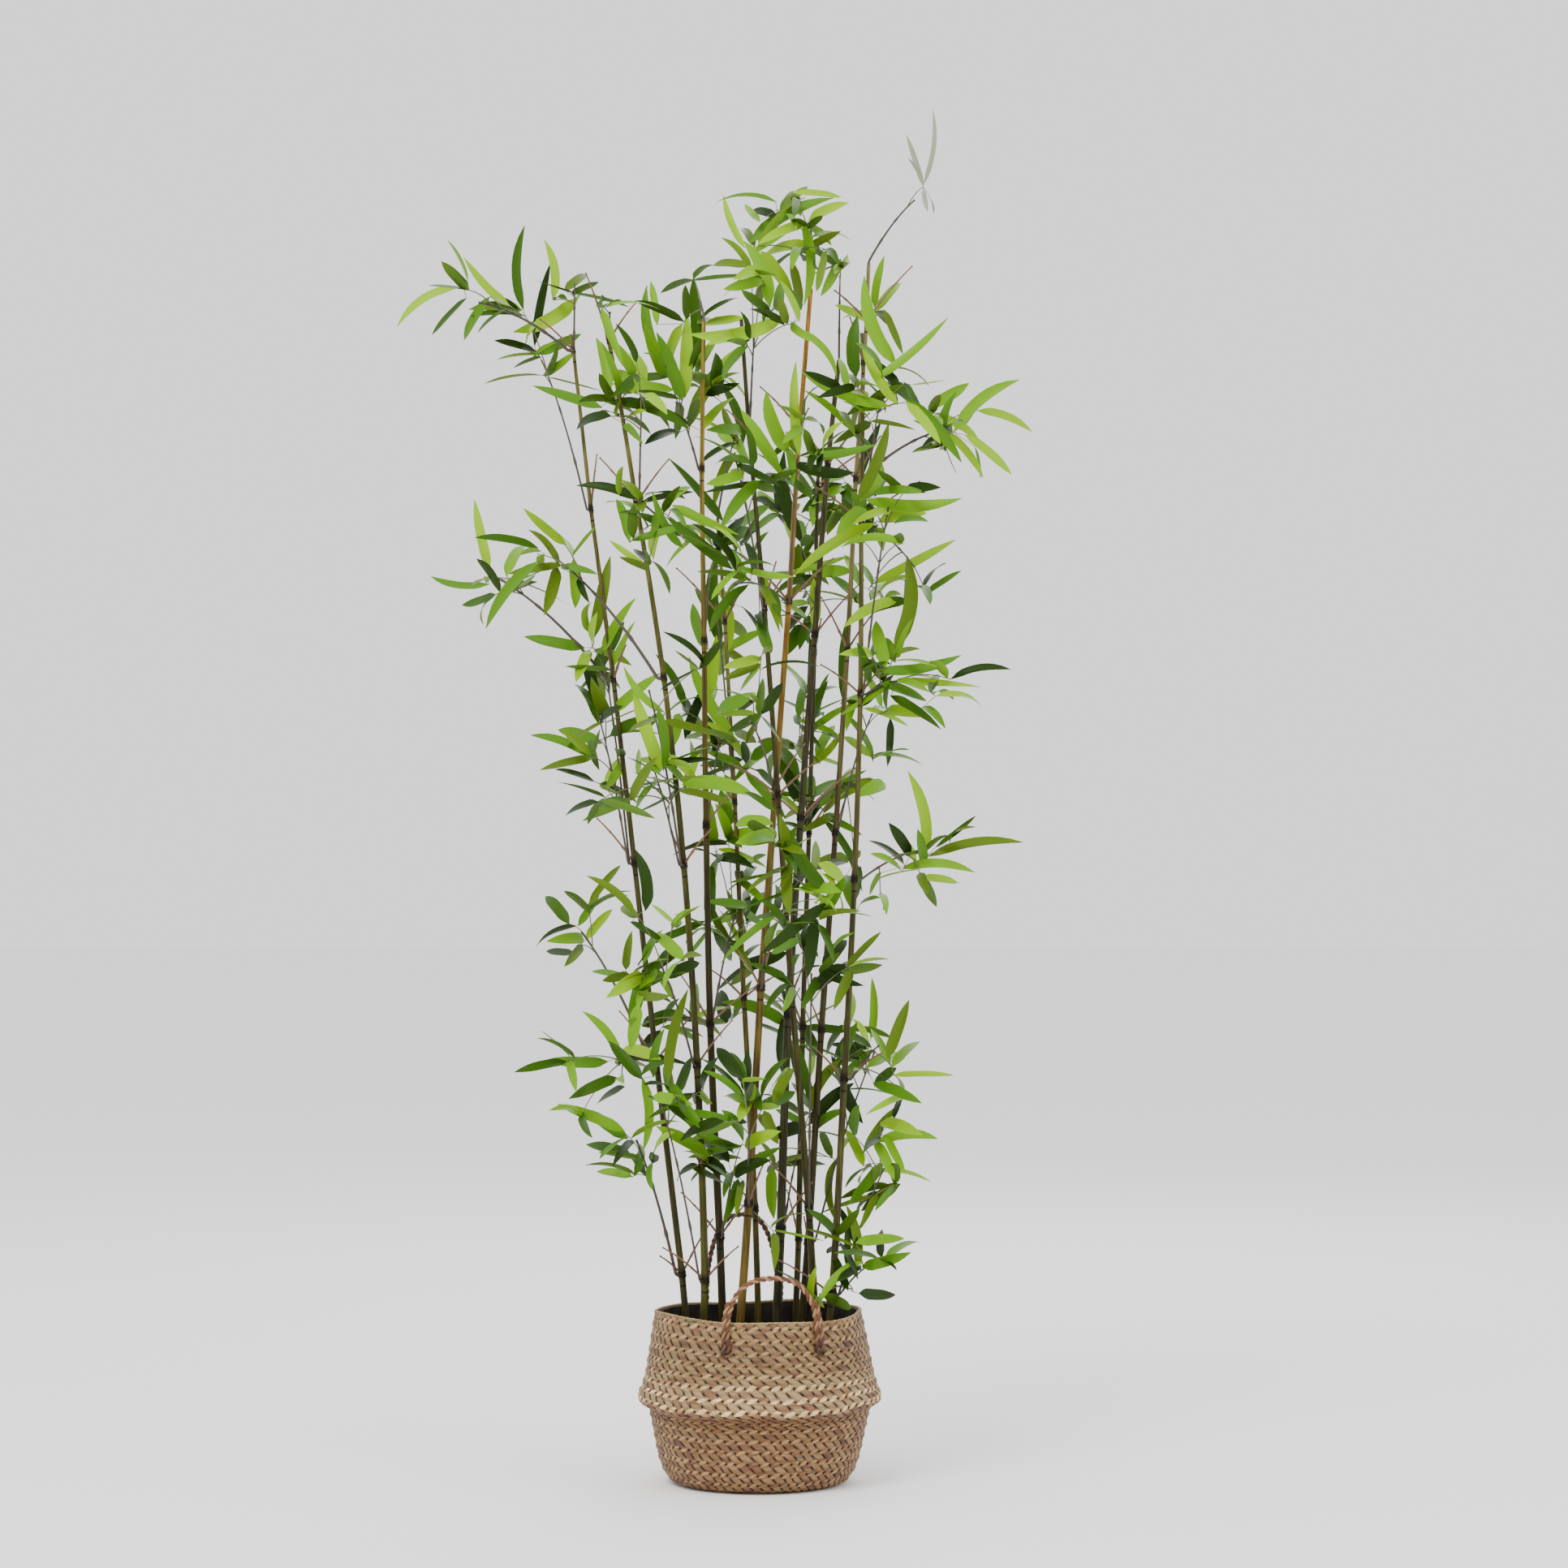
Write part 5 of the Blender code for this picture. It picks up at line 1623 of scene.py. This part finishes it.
def fan_leaves(rows, hub, pattern, tones, rng):
    """The leaves of one fan and their stalks, as (tone, leaf) pairs and tubes."""
    grown = []
    stalks = []
    for off_x, off_z, bearing, shown, bent, broad in rows:
        bearing = math.radians(bearing + rng.uniform(-LEAF_TURN, LEAF_TURN))
        shown = shown * MM
        length = max(rng.uniform(*LEAF_LENGTH), shown)
        away = math.acos(shown / length) * rng.choice((-1.0, 1.0))
        flat = Vector((math.cos(bearing), 0.0, math.sin(bearing)))
        heading = flat * math.cos(away) + Vector((0.0, 1.0, 0.0)) * math.sin(away)
        facing = (LEAF_FACING - heading * LEAF_FACING.dot(heading)).normalized()
        over = Matrix.Rotation(rng.gauss(0.0, LEAF_ROLL), 3, heading) @ facing
        root = hub + Vector((off_x * MM, rng.uniform(-LEAF_PITCH, LEAF_PITCH), off_z * MM))
        if (root - hub).length > LEAF_PITCH / 2.0:
            stalks.append(twig_tube([hub, root + heading * STALK_REACH], STALK_RADII, sides=STALK_SIDES))
        arch = rng.uniform(*LEAF_ARCH) * LEAF_BEND
        droop = rng.uniform(0.0, 1.0) * LEAF_DROOP
        sway = bent * LEAF_SWEEP + rng.uniform(-LEAF_SWEEP_SPREAD, LEAF_SWEEP_SPREAD)
        sweep = Vector((-math.sin(bearing), 0.0, math.cos(bearing))) * (sway * shown)
        twist = rng.uniform(-LEAF_TWIST, LEAF_TWIST)
        width = broad * MM * rng.uniform(*LEAF_WIDENING)
        leaf = bent_leaf(pattern, root, heading, over, (length, width), (arch, droop, twist), sweep)
        grown.append((tones.pop(), leaf))
    return grown, stalks


def depth_leaves(hub, axis, pattern, rng):
    """Leaves of the same fan that point to the front and the back, spaced along its twig."""
    grown = []
    inner = abs(hub.x) < INNER_REACH
    for number in range(rng.randint(*DEPTH_LEAVES) + INNER_LEAVES * inner):
        turn = rng.choice((-1.0, 1.0)) * math.radians(90.0) + rng.gauss(0.0, DEPTH_LEAF_TURN)
        heading = pointing(turn, rng.uniform(*DEPTH_LEAF_RISE))
        over = Matrix.Rotation(rng.gauss(0.0, 2.0 * LEAF_ROLL), 3, heading) @ UP
        root = hub - axis * (LEAF_PITCH * (number + 1.0))
        size = (rng.uniform(*LEAF_LENGTH), LEAF_WIDTH * rng.uniform(*DEPTH_LEAF_WIDENING))
        arch = rng.uniform(*DEPTH_LEAF_ARCH) * LEAF_BEND
        droop = rng.uniform(*DEPTH_LEAF_DROOP) * LEAF_DROOP
        twist = rng.uniform(-LEAF_TWIST, LEAF_TWIST)
        leaf = bent_leaf(pattern, root, heading, over, size, (arch, droop, twist), Vector())
        grown.append((rng.choice(DEPTH_LEAF_TONES), leaf))
    return grown


def grow_sprays():
    """All the stems, twigs and leaves, as arrays sorted by kind and tone, and the tones of each spray."""
    pattern = leaf_pattern()
    wood = {kind: [] for kind in TWIG_BARKS}
    leaves = {tone: [] for tone in TONES}
    counts = {name: Counter() for name in SPRAYS}
    for order, (name, (_, middle, mix)) in enumerate(SPRAYS.items()):
        rng = random.Random(SEED * 1000 + order)
        route = spray_route(name)
        thick = BOUGH_RADII if name in BOUGHS else STEM_RADII
        wood["boughs"].append(twig_tube(route, thick, joints=STEM_JOINTS, sides=STEM_SIDES))
        tones = dealt_tones(mix, sum(len(fan) - 2 for fan in FANS[name]), rng)
        for x, z, *rows in FANS[name]:
            depth = middle[1] + rng.uniform(-LEAF_DEPTH_SPREAD, LEAF_DEPTH_SPREAD)
            hub = Vector((x * MM, depth, z * MM))
            share = nearest_share(route, hub, *TWIG_LEAVES_STEM)
            path = arched(point_on(route, share), hub, TWIG_STEPS, TWIG_ARCH)
            grown, stalks = fan_leaves(rows, hub, pattern, tones, rng)
            wood["twigs"] += [twig_tube(path, TWIG_RADII), *stalks]
            if mix != FADED_MIX:
                grown += depth_leaves(hub, (path[-1] - path[-2]).normalized(), pattern, rng)
            for tone, leaf in grown:
                leaves[tone].append(leaf)
                counts[name][tone] += 1
    for cane in CANES:
        rng = random.Random(f"{SEED}{cane}")
        for index in range(len(ring_heights(cane))):
            wood["bare_twigs"] += bare_twigs(cane, index, rng)
    return wood, leaves, counts


def bare_twigs(cane, index, rng):
    """The short leafless twigs that stand in a pair at each ring."""
    grown = []
    root = ring_point(cane, index)
    turn = rng.uniform(0.0, math.tau)
    for side in range(2):
        bearing = turn + math.pi * side + rng.uniform(-BARE_TWIG_TURN, BARE_TWIG_TURN)
        rise = rng.uniform(*BARE_TWIG_RISE)
        tip = root + pointing(bearing, rise) * rng.uniform(*BARE_TWIG_LENGTH)
        if rng.random() < BARE_TWIG_SHARE:
            path = arched(root, tip, TWIG_STEPS, BARE_TWIG_ARCH)
            grown.append(twig_tube(path, BARE_TWIG_RADII, joints=BARE_TWIG_JOINTS))
    return grown


def make_wood(wood):
    """One piece of each kind of stem and twig."""
    nodes = [f"bough_{name}" for name in BOUGHS]
    for kind, tubes in wood.items():
        bark = plain(f"{kind[:-1]}_bark", TWIG_BARKS[kind], 0.6)
        finish_piece(joined(kind, tubes), kind, [bark], "twig", *nodes)
        nodes = []


def make_leaves(leaves, counts):
    """One piece of leaves for each tone, which stands for the masses where that tone leads."""
    nodes = {tone: [] for tone in TONES}
    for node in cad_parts:
        if node.startswith("leaves_"):
            tally = counts[node.removeprefix("leaves_")]
            nodes[max(tally, key=tally.get)].append(node)
    for tone, (upper, under) in TONES.items():
        piece = joined(f"leaves_{tone}", leaves[tone])
        sides = [plain(f"leaf_{tone}", upper, 0.45, 0.12), plain(f"leaf_{tone}_underside", under, 0.6, 0.1)]
        finish_piece(piece, f"foliage_{tone}", sides, "leaf", *nodes[tone])


# Stage


def make_stage():
    bpy.ops.mesh.primitive_plane_add(size=FLOOR_SIZE, location=(0.0, 0.0, 0.0))
    floor = settled()
    floor.name = "floor"
    floor.data.materials.append(plain("pale_floor", FLOOR_GREY, 0.9))
    world = bpy.data.worlds.new("soft_sky")
    world.use_nodes = True
    background = world.node_tree.nodes["Background"]
    background.inputs["Color"].default_value = (*WHITE, 1.0)
    background.inputs["Strength"].default_value = SKY_STRENGTH
    bpy.context.scene.world = world


def add_light(name, place, aim, size, power):
    light = bpy.data.lights.new(name, "AREA")
    light.size = size
    light.energy = power
    lamp = new_object(name, light)
    lamp.location = place
    lamp.rotation_euler = (Vector(aim) - Vector(place)).to_track_quat("-Z", "Y").to_euler()


def add_camera():
    camera = bpy.data.cameras.new("camera")
    camera.lens = CAMERA_LENS
    camera.sensor_width = 36.0
    camera.clip_end = 100.0
    holder = new_object("camera", camera)
    holder.location = CAMERA_PLACE
    holder.rotation_euler = (math.radians(90.0), 0.0, 0.0)
    bpy.context.scene.camera = holder


# The two slants of strands are lit and shaded copies of one grass: painted light and shade
make_weave("weave_right", -1.0, seagrass("seagrass_lit", STRAW, LIT_STRAND_GAP_SHADE, LIT_STRAND_BANDS), "basket")
make_weave("weave_left", 1.0, seagrass("seagrass_shaded", STRAW_SHADED, SHADED_STRAND_GAP_SHADE, SHADED_STRAND_BANDS))
make_rim(seagrass("seagrass_rim", STRAW_PALE, RIM_GAP_SHADE, LIT_STRAND_BANDS[:1] * 2))
make_liner(pot_liner())
make_fill(pot_fill())
ropes = {kind: grass_rope(f"rope_{kind}", stops) for kind, stops in ROPES.items()}
make_handle("handle_front", (ropes["brown"], ropes["cream"]))
# The back handle's plies are darker than the front one's: painted shade
make_handle("handle_back", (ropes["dark"], ropes["brown"]))
for cane, (foot, tip) in BARKS.items():
    make_cane(cane, cane_bark(f"bark_{cane}", foot, tip))
wood, leaves, counts = grow_sprays()
make_wood(wood)
make_leaves(leaves, counts)
make_stage()
for name, settings in LIGHTS.items():
    add_light(name, *settings)
add_camera()
